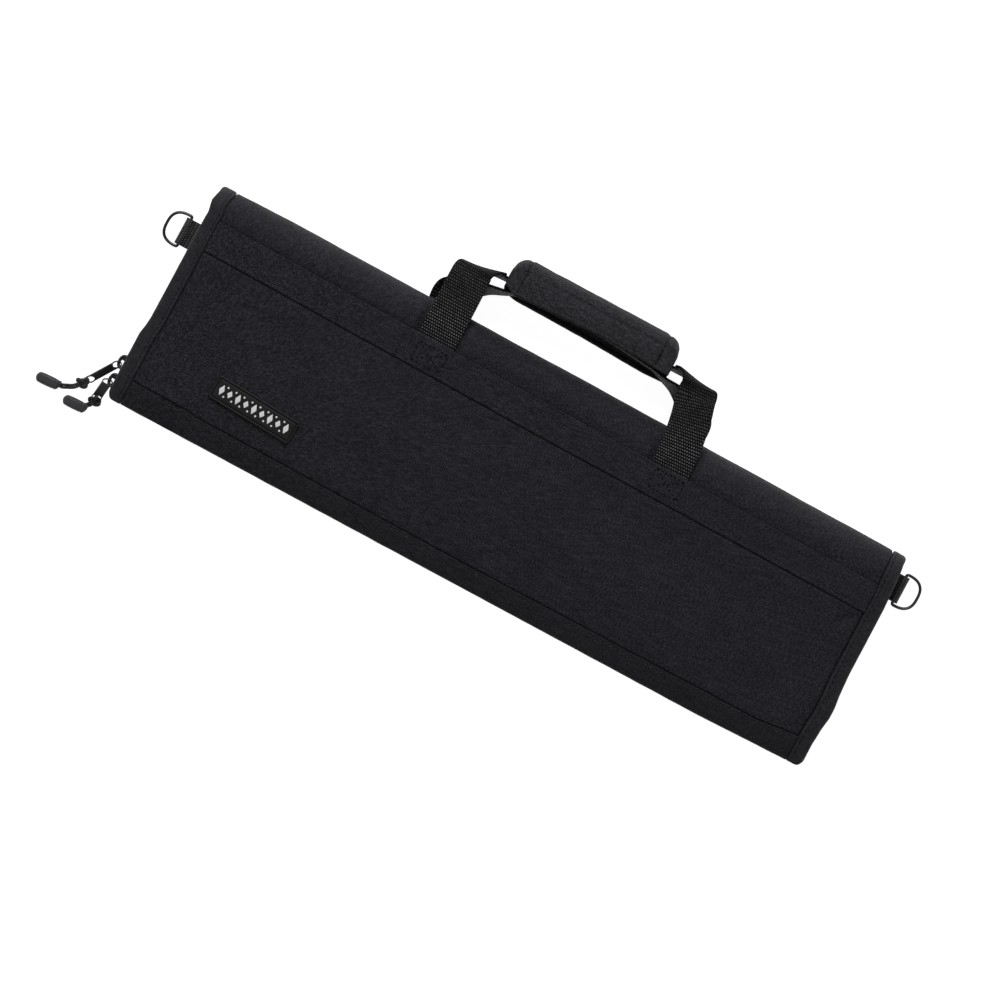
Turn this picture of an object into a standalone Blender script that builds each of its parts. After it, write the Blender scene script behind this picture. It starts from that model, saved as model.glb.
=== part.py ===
"""Padded chef knife roll, closed and zipped, lying on its back panel with its front panel up.

X runs along the length, Y toward the handle, Z up from the face that it rests on.
"""

import math

import bmesh
import bpy
from mathutils import Matrix, Vector

MM = 0.001

# Body of the roll
HALF_LENGTH = 235.5 * MM
THICKNESS = 38.0 * MM
MID_Z = THICKNESS / 2
PADDING = 4.2 * MM
EDGE_FALL = 3.5 * MM
FALL_REACH = 26.0 * MM
DOME_HEIGHT = 1.5 * MM
DOME_BOTTOM = -60.0 * MM
DOME_TOP = 28.0 * MM
CORNER_RADIUS = 5.0 * MM
EDGE_SHAPE_REACH = 24.0 * MM

# Outline of the body as seen from the front
TOP_EDGE = {"x": [-235, -184, -104, 8, 104, 235], "y": [72.3, 72.9, 72.2, 72.1, 71.1, 70.1]}
BOTTOM_EDGE = {"x": [-235, 168, 200, 235], "y": [-73.3, -73.3, -72.5, -71.7]}
# How far the left and right edges stand out past HALF_LENGTH
LEFT_EDGE = {
    "y": [-73, -30, -24, -18, 50, 54, 62, 70],
    "out": [1.1, 1.4, 0.4, -0.2, -0.2, -0.4, 1.0, -0.6],
}
RIGHT_EDGE = {
    "y": [-73, -56, -46, -38, -30, -22, -8, 36, 62, 66],
    "out": [1.4, 1.0, 1.6, 2.7, 2.7, 1.6, 0.8, 0.5, -1.1, -1.6],
}

# Cloth layers: n is the height above the panel's face
GAP = 0.35 * MM
TAPE = 1.0 * MM
TAPE_CHAMFER = 1.1 * MM
LAYER_TOP = -0.05 * MM
LAYER_BASE = LAYER_TOP - TAPE
PRESSED = LAYER_BASE - GAP
INNER_TOP = -PADDING - GAP
INNER_BASE = INNER_TOP - TAPE
WRAP_REACH = 8.0 * MM
BINDING_WIDTH = 9.3 * MM
BINDING_END = 0.2 * MM
SEAM_GAP = 0.5 * MM
PRESS_REACH = BINDING_WIDTH + SEAM_GAP
STEP_START = 0.6 * MM
STEP_END = 2.0 * MM
BAND_TOP = {"x": [-226, 0, 226], "y": [51.7, 48.9, 47.0]}
BAND_BOTTOM = {"x": [-226, 0, 226], "y": [31.8, 29.2, 28.4]}
HEM_TOP = {"x": [-226, -195, -180, 0, 200, 226], "y": [-57.4, -57.4, -58.6, -59.6, -58.5, -55.4]}

# Handle webbing
WEBBING_WIDTH = 24.6 * MM
WEBBING_THICKNESS = 1.6 * MM
WEBBING_DEPTH = 2.2 * MM
WEBBING_SINK = WEBBING_DEPTH + WEBBING_THICKNESS / 2 + GAP
SINK_BULGE = 1.0 * MM
SINK_ZONES = ((-97.5, -93.9, -64.0, -60.5), (63.8, 67.2, 96.3, 99.8))
SINK_SHARE = {"angle": [0, 22.5, 45, 67.5], "share": [1.0, 0.84, 0.3, 0.0]}
# Centre and width direction of each webbing, from the left base to the right base
FRONT_WEBBING = (
    ((-77.2, 33.0, 35.8), (1, 0, 0)),
    ((-77.2, 50.0, 35.8), (1, 0, 0)),
    ((-77.3, 66.0, 35.8), (1, 0, 0)),
    ((-77.5, 82.0, 35.2), (1, 0, 0)),
    ((-77.7, 93.0, 33.8), (1, 0, 0)),
    ((-77.2, 99.4, 30.6), (0.93, -0.05, 0.36)),
    ((-71.5, 102.8, 22.4), (0.64, 0.1, 0.77)),
    ((-64.0, 103.9, 16.2), (0.12, 0.13, 0.99)),
    ((-56.5, 103.7, 15.2), (0, 0.05, 1)),
    ((0.0, 105.8, 15.2), (0, 0, 1)),
    ((54.5, 103.6, 15.2), (0, 0.05, 1)),
    ((61.5, 104.2, 16.2), (-0.12, 0.13, 0.99)),
    ((69.4, 104.2, 22.4), (-0.64, 0.1, 0.77)),
    ((75.0, 101.0, 30.6), (-0.93, -0.1, 0.36)),
    ((76.4, 93.0, 33.8), (-0.98, -0.19, 0)),
    ((79.2, 82.0, 35.2), (-0.98, -0.17, 0)),
    ((81.8, 66.0, 35.8), (-0.99, -0.12, 0)),
    ((83.0, 50.0, 35.8), (-1, -0.05, 0)),
    ((83.3, 33.0, 35.8), (-1, 0, 0)),
)
BACK_WEBBING = (
    ((-79.0, 33.0, 2.2), (1, 0, 0)),
    ((-79.2, 50.0, 2.2), (1, 0, 0)),
    ((-80.4, 66.0, 2.2), (0.99, 0.1, 0)),
    ((-82.6, 75.5, 3.4), (0.98, 0.1, -0.05)),
    ((-82.4, 82.5, 6.6), (0.93, -0.1, -0.33)),
    ((-76.0, 88.4, 12.0), (0.5, -0.32, -0.8)),
    ((-67.0, 92.2, 14.8), (0.15, -0.2, -0.97)),
    ((-57.0, 95.4, 15.2), (0, -0.1, -1)),
    ((-46.0, 98.6, 15.2), (0, -0.03, -1)),
    ((0.0, 100.6, 15.2), (0, 0, -1)),
    ((44.0, 97.6, 15.2), (0, -0.03, -1)),
    ((55.0, 95.0, 15.2), (0, -0.1, -1)),
    ((65.0, 92.8, 14.8), (-0.15, -0.25, -0.96)),
    ((74.4, 89.4, 12.0), (-0.5, -0.38, -0.78)),
    ((80.6, 84.0, 6.6), (-0.93, -0.1, -0.33)),
    ((81.4, 75.5, 3.4), (-0.99, 0.0, -0.05)),
    ((81.8, 66.0, 2.2), (-0.99, -0.05, 0)),
    ((82.8, 50.0, 2.2), (-1, -0.05, 0)),
    ((83.0, 33.0, 2.2), (-1, 0, 0)),
)
WEBBING_STEPS = 3

# Handle wrap
HANDLE_WRAP_LEFT = -57.6 * MM
HANDLE_WRAP_RIGHT = 55.1 * MM
HANDLE_WRAP_TOP = 120.6 * MM
HANDLE_WRAP_Z = 15.2 * MM
HANDLE_WRAP_CROWN = 6.5 * MM
HANDLE_WRAP_WALL = 2.2 * MM
HANDLE_WRAP_PLAY = 0.4 * MM
HANDLE_WRAP_HALF_DEPTH = WEBBING_WIDTH / 2 + HANDLE_WRAP_PLAY + HANDLE_WRAP_WALL
HANDLE_WRAP_CORNER = 9.0 * MM
FRONT_LIP = {"x": [-57.6, -54, -48, 0, 40, 55.1], "y": [101.5, 98.5, 96.9, 99.6, 98.9, 98.0]}
BACK_LIP = {"x": [-57.6, -54, -48, 0, 40, 55.1], "y": [99.5, 97.2, 95.8, 95.2, 93.8, 94.4]}

# Zip
ZIP_INSET = 3.0 * MM
ZIP_CORNER = 2.6 * MM
CHAIN_HALF_WIDTH = 3.1 * MM
CHAIN_HALF_DEPTH = 1.3 * MM
ZIP_HALF_GAP = CHAIN_HALF_WIDTH + GAP
ZIP_TAPE_THICKNESS = 1.0 * MM
UPPER_CHAIN_START = -50.6 * MM
LOWER_CHAIN_START = -60.6 * MM
ZIP_TOP_ROOM = 1.5 * MM
ZIP_CORNER_REACH = 8.0 * MM
ZIP_CORNER_ROOM = 1.8 * MM
ZIP_CORNER_PAST = 1.5 * MM

# Sliders on the left side of the roll
SLIDER_LENGTH = 10.0 * MM
SLIDER_WIDTH = 9.6 * MM
SLIDER_PLATE = 1.1 * MM
SLIDER_SLOT = 1.7 * MM
SLIDER_POST = 2.4 * MM
SLIDER_ARCH = 7.4 * MM
SLIDER_ARCH_BAR = 1.3 * MM
SLIDER_ARCH_INSET = 0.2 * MM
UPPER_SLIDER_Y = -50.0 * MM
LOWER_SLIDER_Y = -62.4 * MM

# Pull tabs
TAB_HOLES = 19.5 * MM
TAB_HALF_WIDTH = 3.1 * MM
TAB_THICKNESS = 1.0 * MM
TAB_EYE_RADIUS = 3.4 * MM
TAB_EYE_HOLE = 2.5 * MM
# Eye on the slider with x from the roll's left side, direction of the tab, turn about its length
UPPER_TAB = ((-4.9, -53.2, 19.3), (-10.3, -15.3, -6.4), 48.0)
LOWER_TAB = ((-4.9, -64.9, 19.0), (-2.2, -11.4, -15.6), 22.0)

# Centre, half width and half height along each cord: first from its tab, then with x from the
# roll's left side
UPPER_CORD_START = (
    ((19.5, 0.0, 1.3), 0.9, 0.9),
    ((19.5, 0.0, 0.0), 0.9, 0.9),
    ((20.1, 0.0, -1.8), 0.95, 0.95),
    ((21.9, 0.0, -2.6), 1.0, 1.0),
    ((23.7, 0.0, -2.2), 1.5, 1.5),
    ((25.1, 0.0, -0.9), 2.8, 2.6),
    ((26.9, 0.0, 0.0), 3.6, 3.1),
    ((28.6, 0.0, -0.2), 2.9, 2.5),
)
UPPER_CORD_END = (
    ((-21.9, -76.8, 8.2), 1.9, 1.4),
    ((-25.5, -78.8, 5.4), 1.9, 1.1),
    ((-28.9, -80.3, 3.9), 1.8, 1.1),
)
LOWER_CORD_START = (
    ((20.5, 0.0, -1.3), 0.9, 0.9),
    ((20.5, 0.0, 0.0), 0.9, 0.9),
    ((20.4, 0.0, 1.4), 1.0, 1.0),
)
LOWER_CORD_END = (
    ((-6.57, -79.2, 3.88), 1.5, 1.5),
    ((-6.86, -80.0, 4.27), 2.2, 2.2),
    ((-7.45, -80.8, 4.5), 2.6, 2.6),
    ((-8.3, -81.6, 4.5), 1.9, 1.6),
    ((-9.2, -82.3, 4.2), 1.7, 1.1),
)
GRIP_LENGTH = 15.4 * MM
GRIP_HALF_WIDTH = 3.4 * MM
GRIP_HALF_HEIGHT = 3.2 * MM
UPPER_GRIP = (-37.8, -81.5, 3.25)
UPPER_GRIP_TURN = 3.0
LOWER_GRIP = (-16.9, -86.2, 3.25)
LOWER_GRIP_TURN = 2.0

# D-rings and their webbing tabs
RING_WIRE = 0.95 * MM
RING_HALF_HEIGHT = 10.2 * MM
RING_DEPTH = 12.0 * MM
RING_CORNER = 1.1 * MM
RING_CLEARANCE = 0.45 * MM
RING_TAB_WIDTH = 17.2 * MM
RING_TAB_THICKNESS = 1.3 * MM
RING_TAB_SLIT = 0.25 * MM
RING_TAB_ROOT = 3.0 * MM
# Each ring's bar: how far it lies past HALF_LENGTH, and its height in y
LEFT_RING_BAR = (6.8, 36.7)
RIGHT_RING_BAR = (3.5, 51.2)

# Rubber patch
PATCH_LENGTH = 56.0 * MM
PATCH_WIDTH = 15.0 * MM
PATCH_CENTRE = (-154.0, -37.7)
PATCH_TURN = -3.0
PATCH_RADIUS = 1.6 * MM
PATCH_RIM = 1.2 * MM
PATCH_LIFT = 0.45 * MM
PATCH_THICKNESS = 1.3 * MM
PATCH_FIELD_DROP = 0.4 * MM

COLOURS = {
    "woven cloth": (0.014, 0.013, 0.016, 0.85, 0.0),
    "binding cloth": (0.017, 0.016, 0.02, 0.8, 0.0),
    "webbing": (0.012, 0.012, 0.013, 0.6, 0.0),
    "zip cloth": (0.012, 0.012, 0.014, 0.85, 0.0),
    "zip coil": (0.01, 0.01, 0.011, 0.4, 0.0),
    "dark metal": (0.09, 0.09, 0.095, 0.3, 1.0),
    "pull metal": (0.03, 0.029, 0.032, 0.35, 0.5),
    "cord": (0.02, 0.02, 0.022, 0.7, 0.0),
    "grip rubber": (0.04, 0.039, 0.042, 0.5, 0.0),
    "patch rubber": (0.012, 0.012, 0.013, 0.55, 0.0),
}


def clear_scene():
    for obj in list(bpy.data.objects):
        bpy.data.objects.remove(obj, do_unlink=True)


def material(name, label):
    red, green, blue, rough, metal = COLOURS[label]
    made = bpy.data.materials.new(name + " " + label)
    made.use_nodes = True
    shader = made.node_tree.nodes["Principled BSDF"]
    shader.inputs["Base Color"].default_value = (red, green, blue, 1.0)
    shader.inputs["Roughness"].default_value = rough
    shader.inputs["Metallic"].default_value = metal
    made.diffuse_color = (red, green, blue, 1.0)
    return made


def add_object(name, points, faces, label, smooth=True):
    mesh = bpy.data.meshes.new(name)
    mesh.from_pydata([tuple(p) for p in points], [], faces)
    work = bmesh.new()
    work.from_mesh(mesh)
    bmesh.ops.recalc_face_normals(work, faces=work.faces)
    work.to_mesh(mesh)
    work.free()
    mesh.shade_smooth() if smooth else mesh.shade_flat()
    obj = bpy.data.objects.new(name, mesh)
    obj.data.materials.append(material(name, label))
    bpy.context.scene.collection.objects.link(obj)
    return obj


def shell(name, outer, inner, label):
    """A sheet with thickness, from two grids of points of the same size."""
    rows = len(outer)
    columns = len(outer[0])
    points = [p for row in outer for p in row] + [p for row in inner for p in row]
    shift = rows * columns
    faces = []
    for i in range(rows - 1):
        for j in range(columns - 1):
            a = i * columns + j
            quad = (a, a + 1, a + columns + 1, a + columns)
            faces.append(quad)
            faces.append(tuple(shift + k for k in reversed(quad)))
    rim = [(i, 0) for i in range(rows)]
    rim += [(rows - 1, j) for j in range(1, columns)]
    rim += [(i, columns - 1) for i in range(rows - 2, -1, -1)]
    rim += [(0, j) for j in range(columns - 2, 0, -1)]
    keys = [i * columns + j for i, j in rim]
    for a, b in zip(keys, keys[1:] + keys[:1]):
        faces.append((a, b, shift + b, shift + a))
    return add_object(name, points, faces, label)


def loft(name, loops, label, closed=False, smooth=True):
    """A solid through loops of points, capped at both ends unless it closes on itself."""
    size = len(loops[0])
    points = [p for loop in loops for p in loop]
    faces = []
    spans = len(loops) if closed else len(loops) - 1
    for i in range(spans):
        k = (i + 1) % len(loops)
        for j in range(size):
            m = (j + 1) % size
            faces.append((i * size + j, i * size + m, k * size + m, k * size + j))
    if not closed:
        faces.append(tuple(range(size)))
        last = (len(loops) - 1) * size
        faces.append(tuple(last + j for j in reversed(range(size))))
    return add_object(name, points, faces, label, smooth)


def reading(pairs, key, value, at):
    """Straight-line reading of a table."""
    keys = pairs[key]
    values = pairs[value]
    if at <= keys[0]:
        return values[0]
    for k in range(1, len(keys)):
        if at <= keys[k]:
            share = (at - keys[k - 1]) / (keys[k] - keys[k - 1])
            return values[k - 1] + share * (values[k] - values[k - 1])
    return values[-1]


def table(pairs, key, value, at):
    """Reading of a table whose numbers are in millimetres."""
    return reading(pairs, key, value, at / MM) * MM


def fall(distance):
    """How far the panel drops at this distance from its edge."""
    share = max(0.0, (FALL_REACH - max(distance, 0.0)) / FALL_REACH)
    return EDGE_FALL * share * share


def half_height(x):
    return MID_Z - fall(HALF_LENGTH - abs(x))


def fold_start(x):
    return table(TOP_EDGE, "x", "y", x) - half_height(x)


def bottom(x):
    return table(BOTTOM_EDGE, "x", "y", x)


def dome(x, y):
    if not DOME_BOTTOM < y < DOME_TOP:
        return 0.0
    along = min(1.0, abs(x) / (HALF_LENGTH - FALL_REACH))
    across = (2 * y - DOME_TOP - DOME_BOTTOM) / (DOME_TOP - DOME_BOTTOM)
    return DOME_HEIGHT * (1 - along**4) * (1 - across * across) ** 2


def front_height(x, y):
    return MID_Z + half_height(x) - fall(y - bottom(x)) + dome(x, y)


def shaped(x, y, z):
    """Moves a point of the plain outline to the outline of the real edges and corners."""
    side = HALF_LENGTH - abs(x)
    low = y - bottom(x)
    if side < CORNER_RADIUS and low < CORNER_RADIUS:
        p = (CORNER_RADIUS - side) / CORNER_RADIUS
        q = (CORNER_RADIUS - low) / CORNER_RADIUS
        side = CORNER_RADIUS * (1 - p * math.sqrt(1 - q * q / 2))
        low = CORNER_RADIUS * (1 - q * math.sqrt(1 - p * p / 2))
        y = bottom(x) + low
        x = math.copysign(HALF_LENGTH - side, x)
    share = max(0.0, 1 - max(side, 0.0) / EDGE_SHAPE_REACH)
    if x < 0:
        x -= share * table(LEFT_EDGE, "y", "out", y)
    else:
        x += share * table(RIGHT_EDGE, "y", "out", y)
    return Vector((x, y, z))


def face_point(x, row):
    """Point of the cover's face. A row is ("front", y), ("fold", angle) or ("back", y)."""
    kind, value = row
    if kind == "fold":
        radius = half_height(x)
        angle = math.radians(value)
        return shaped(x, fold_start(x) + radius * math.sin(angle), MID_Z + radius * math.cos(angle))
    if kind == "front":
        return shaped(x, value, front_height(x, value))
    return shaped(x, value, MID_Z - half_height(x) + fall(value - bottom(x)))


def face_normal(x, row):
    """Outward direction of the face, taken a little inside the edges, where it is calm."""
    kind, value = row
    reach = HALF_LENGTH - CORNER_RADIUS
    x = min(max(x, -reach), reach)
    if kind != "fold":
        row = (kind, max(value, bottom(x) + CORNER_RADIUS))
        value = row[1]
    step = 0.2 * MM
    turn = 0.5 if kind == "fold" else step
    if kind == "back":
        turn = -step
    along = face_point(x + step, row) - face_point(x - step, row)
    across = face_point(x, (kind, value + turn)) - face_point(x, (kind, value - turn))
    return along.cross(across).normalized()


def layer_point(x, row, n):
    return face_point(x, row) + n * face_normal(x, row)


FOLD_ANGLES = (0.0, 22.5, 45.0, 67.5, 90.0, 112.5, 135.0, 157.5, 180.0)
SIDE_COLUMNS = (1.4, 4.0, 9.7, 11.4, 16.0)
INNER_COLUMNS = (-206, -178, -150, -122, -30, 0, 30, 125, 155, 184, 208)
EDGE_ROWS = (1.4, 5.0)
PANEL_ROWS = (-46, -28, -6, 14)
BAND_ROW = len(EDGE_ROWS) + 2 + len(PANEL_ROWS) + 1
ZIP_COLUMNS = (-206, -150, -75, 0, 75, 150, 184, 206)
COLUMN_ROOM = 10.0 * MM


def cover_columns():
    sides = [HALF_LENGTH - c * MM for c in SIDE_COLUMNS]
    zones = [x * MM for zone in SINK_ZONES for x in zone]
    reach = sides[-1] - COLUMN_ROOM
    inner = [x * MM for x in INNER_COLUMNS if abs(x * MM) < reach]
    return sorted([-x for x in sides] + sides + zones + inner)


def panel_rows(x, kind):
    """(row, pressed) pairs from the bottom edge to the fold, with pressed in 0 to 1."""
    low = bottom(x)
    hem = table(HEM_TOP, "x", "y", x)
    band_low = table(BAND_BOTTOM, "x", "y", x)
    band_high = table(BAND_TOP, "x", "y", x)
    rows = [((kind, low + d * MM), 1) for d in EDGE_ROWS]
    rows += [((kind, hem + STEP_START), 1), ((kind, hem + STEP_END), 0)]
    rows += [((kind, y * MM), 0) for y in PANEL_ROWS]
    rows += [((kind, band_low - STEP_END), 0), ((kind, band_low - STEP_START), 1)]
    rows += [((kind, band_high + STEP_START), 1), ((kind, band_high + STEP_END), 0)]
    return rows


def cover_rows(x):
    front = panel_rows(x, "front")
    fold = [(("fold", angle), 0) for angle in FOLD_ANGLES]
    return front + fold + panel_rows(x, "back")[::-1]


def sink(x, row, index, rows):
    """How far the handle webbing presses the cover in at this place."""
    inside = 0.0
    for start, full, end, stop in SINK_ZONES:
        if full * MM - 1e-6 <= x <= end * MM + 1e-6:
            inside = 1.0
    if not inside:
        return 0.0
    kind, value = row
    if kind == "fold":
        return reading(SINK_SHARE, "angle", "share", min(value, 180 - value))
    from_end = min(index, rows - 1 - index)
    return 1.0 if from_end >= BAND_ROW else 0.0


def build_cover():
    columns = cover_columns()
    count = len(cover_rows(0.0))
    outer = []
    inner = []
    for k in range(count):
        outer_row = []
        inner_row = []
        for x in columns:
            rows = cover_rows(x)
            row, pressed = rows[k]
            edge = HALF_LENGTH - abs(x) < PRESS_REACH
            n = PRESSED if pressed or edge else 0.0
            pushed = sink(x, row, k, count)
            corner = HALF_LENGTH - abs(x) < CORNER_RADIUS and k in (0, 1, count - 2, count - 1)
            thin = GAP if corner else 0.0
            outer_row.append(layer_point(x, row, min(n, -pushed * WEBBING_SINK) - thin))
            inner_row.append(layer_point(x, row, thin - PADDING - pushed * SINK_BULGE))
        outer.append(outer_row)
        inner.append(inner_row)
    shell("cover", outer, inner, "woven cloth")


def build_band(name, kind):
    edge = HALF_LENGTH - BINDING_WIDTH - SEAM_GAP
    columns = [-edge] + [x for x in cover_columns() if abs(x) < edge - MM] + [edge]
    outer = []
    inner = []
    for key in (BAND_BOTTOM, BAND_TOP):
        outer.append([layer_point(x, (kind, table(key, "x", "y", x)), LAYER_TOP) for x in columns])
        inner.append([layer_point(x, (kind, table(key, "x", "y", x)), LAYER_BASE) for x in columns])
    shell(name, outer, inner, "woven cloth")


def channel(reach):
    """Section of a tape folded over an edge: distance from the edge, and height n."""
    chamfer = TAPE_CHAMFER
    side = PRESSED + GAP
    inner_side = INNER_TOP
    return (
        (reach, LAYER_TOP),
        (chamfer, LAYER_TOP),
        (0.0, LAYER_TOP - chamfer),
        (0.0, INNER_BASE + chamfer),
        (chamfer, INNER_BASE),
        (WRAP_REACH, INNER_BASE),
        (WRAP_REACH, inner_side),
        (TAPE, inner_side),
        (TAPE, side),
        (reach, side),
    )


def build_hem(name, kind):
    edge = HALF_LENGTH - BINDING_WIDTH - SEAM_GAP
    columns = [-edge] + [x for x in cover_columns() if abs(x) < edge - MM] + [edge]
    loops = []
    for x in columns:
        reach = table(HEM_TOP, "x", "y", x) - bottom(x)
        loops.append([layer_point(x, (kind, bottom(x) + d), n) for d, n in channel(reach)])
    loft(name, loops, "binding cloth")


def build_binding(name, side):
    x_end = side * (HALF_LENGTH - 2 * MM)
    rows = [row for row, pressed in cover_rows(x_end)]
    end = bottom(x_end) + BINDING_END
    rows.insert(0, ("front", end))
    rows.append(("back", end))
    loops = []
    for row in rows:
        loops.append(
            [layer_point(side * (HALF_LENGTH - d), row, n) for d, n in channel(BINDING_WIDTH)]
        )
    loft(name, loops, "binding cloth")


def zip_height(x, y):
    """Height above the middle at which the zip tape meets the underside of the panel's edge."""
    below = -INNER_BASE + GAP
    start = fold_start(x)
    if y > start:
        radius = half_height(x) - below
        return math.sqrt(max(radius * radius - (y - start) ** 2, 0.0))
    step = 0.5 * MM
    slope_x = (half_height(x + step) - half_height(x - step)) / (2 * step)
    fall_low = fall(y - step - bottom(x))
    fall_high = fall(y + step - bottom(x))
    slope_y = (fall_low - fall_high) / (2 * step)
    plain = half_height(x) - fall(y - bottom(x))
    corner = max(HALF_LENGTH - abs(x), y - bottom(x)) < ZIP_CORNER_REACH
    room = ZIP_CORNER_ROOM if corner else 0.0
    return plain - below * math.sqrt(1 + slope_x**2 + slope_y**2) - room


def zip_path():
    """(x, y, half gap) of the plain line of the zip: left side down, bottom, right side up."""
    side = HALF_LENGTH - ZIP_INSET
    left = [(-side, y, gap) for y, gap in side_heights(-side, LEFT_RING_BAR)]
    left += [(-side, UPPER_CHAIN_START, ZIP_HALF_GAP), (-side, LOWER_CHAIN_START, ZIP_HALF_GAP)]
    right = [(side, y, gap) for y, gap in reversed(side_heights(side, RIGHT_RING_BAR))]
    left_low = bottom(-side) + ZIP_INSET + ZIP_CORNER
    right_low = bottom(side) + ZIP_INSET + ZIP_CORNER
    corner = [math.radians(90 * k / 4) for k in range(5)]
    path = []
    for turn in corner:
        x = -side + ZIP_CORNER * (1 - math.cos(turn))
        path.append((x, left_low - ZIP_CORNER * math.sin(turn), ZIP_HALF_GAP))
    reach = HALF_LENGTH - ZIP_CORNER_REACH - ZIP_CORNER_PAST
    inner = [x * MM for x in ZIP_COLUMNS if abs(x * MM) < reach - COLUMN_ROOM]
    for x in [-reach] + inner + [reach]:
        path.append((x, bottom(x) + ZIP_INSET, ZIP_HALF_GAP))
    for turn in corner:
        x = side - ZIP_CORNER * (1 - math.sin(turn))
        path.append((x, right_low - ZIP_CORNER * math.cos(turn), ZIP_HALF_GAP))
    return left + path + right


def side_heights(x, ring_bar):
    """(y, half gap between the two tapes) down one side, from the fold."""
    top = zip_top(x)
    low, high = tab_span(ring_bar)
    step = 0.3 * MM
    tab_gap = RING_TAB_SLIT + RING_TAB_THICKNESS + GAP
    heights = [(top, GAP / 2), (top - 3 * MM, GAP / 2)]
    heights += [(high + step, GAP / 2), (high, tab_gap), (low, tab_gap)]
    heights += [(low - step, ZIP_HALF_GAP)]
    heights += [(y * MM, ZIP_HALF_GAP) for y in PANEL_ROWS[::-1] if y * MM < low - 2 * step]
    return heights


def zip_top(x):
    """Height in y at which the wall of zip tape ends inside the fold."""
    radius = half_height(x) + INNER_BASE - GAP
    return fold_start(x) + math.sqrt(radius * radius - ZIP_TOP_ROOM * ZIP_TOP_ROOM)


def zip_frames(path):
    """(x, y, half gap, shaped point, outward direction) at each place of the path."""
    flat = [shaped(x, y, MID_Z) for x, y, _ in path]
    frames = []
    for k, point in enumerate(flat):
        before = flat[max(k - 1, 0)]
        after = flat[min(k + 1, len(flat) - 1)]
        along = (after - before).normalized()
        frames.append((*path[k], point, Vector((along.y, -along.x, 0.0))))
    return frames


def build_zip_tape(name, side):
    """side is 1 for the front panel's tape and -1 for the back panel's."""
    half = ZIP_TAPE_THICKNESS / 2
    loops = []
    for x, y, low, point, out in zip_frames(zip_path()):
        high = zip_height(x, y)
        loops.append(
            [
                point + out * half + Vector((0, 0, side * low)),
                point + out * half + Vector((0, 0, side * high)),
                point - out * half + Vector((0, 0, side * high)),
                point - out * half + Vector((0, 0, side * low)),
            ]
        )
    loft(name, loops, "zip cloth")


def build_chain(name, path):
    wide = CHAIN_HALF_WIDTH
    deep = CHAIN_HALF_DEPTH
    section = ((-wide, -deep / 2), (-wide, deep / 2), (-wide / 2, deep))
    section += ((wide / 2, deep), (wide, deep / 2), (wide, -deep / 2))
    section += ((wide / 2, -deep), (-wide / 2, -deep))
    loops = []
    for _, _, _, point, out in zip_frames(path):
        loops.append([point + out * d + Vector((0, 0, z)) for z, d in section])
    loft(name, loops, "zip coil")


def chain_parts():
    """Upper and lower runs of the zip. The two sliders hold the rest open."""
    path = zip_path()
    side = HALF_LENGTH - ZIP_INSET
    left_end = tab_span(LEFT_RING_BAR)[0] - GAP
    right_end = tab_span(RIGHT_RING_BAR)[0] - GAP
    upper = [(-side, left_end, ZIP_HALF_GAP)]
    lower = []
    for point in path:
        if point[0] < MM - side and point[1] > (UPPER_CHAIN_START + LOWER_CHAIN_START) / 2:
            if point[1] < left_end - GAP:
                upper.append(point)
        elif point[0] < side - MM or point[1] < right_end - GAP:
            lower.append(point)
    return upper, lower + [(side, right_end, ZIP_HALF_GAP)]


def tab_span(ring_bar):
    """Span in y of the slot for a ring's webbing tab."""
    half = RING_TAB_WIDTH / 2 + GAP
    return ring_bar[1] * MM - half, ring_bar[1] * MM + half


def blocks(name, boxes, label, place):
    """One solid from overlapping boxes, given as (x0, x1, y0, y1, z0, z1)."""
    cuts = []
    for axis in range(3):
        values = sorted({round(v, 7) for box in boxes for v in box[2 * axis : 2 * axis + 2]})
        cuts.append(values)
    filled = set()
    for i in range(len(cuts[0]) - 1):
        for j in range(len(cuts[1]) - 1):
            for k in range(len(cuts[2]) - 1):
                mid = [(cuts[a][n] + cuts[a][n + 1]) / 2 for a, n in enumerate((i, j, k))]
                if any(all(b[2 * a] < mid[a] < b[2 * a + 1] for a in range(3)) for b in boxes):
                    filled.add((i, j, k))
    work = bmesh.new()
    made = {}

    def corner(i, j, k):
        if (i, j, k) not in made:
            made[i, j, k] = work.verts.new((cuts[0][i], cuts[1][j], cuts[2][k]))
        return made[i, j, k]

    for cell in filled:
        for axis in range(3):
            for way in (0, 1):
                beside = list(cell)
                beside[axis] += 1 if way else -1
                if tuple(beside) in filled:
                    continue
                one, two = [a for a in range(3) if a != axis]
                face = []
                for a, b in ((0, 0), (1, 0), (1, 1), (0, 1)):
                    spot = list(cell)
                    spot[axis] += way
                    spot[one] += a
                    spot[two] += b
                    face.append(corner(*spot))
                work.faces.new(face)
    bmesh.ops.recalc_face_normals(work, faces=work.faces)
    bmesh.ops.dissolve_limit(
        work, angle_limit=math.radians(1), verts=work.verts[:], edges=work.edges[:]
    )
    mesh = bpy.data.meshes.new(name)
    bmesh.ops.transform(work, matrix=place, verts=work.verts[:])
    work.to_mesh(mesh)
    work.free()
    obj = bpy.data.objects.new(name, mesh)
    obj.data.materials.append(material(name, label))
    bpy.context.scene.collection.objects.link(obj)
    return obj


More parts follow.
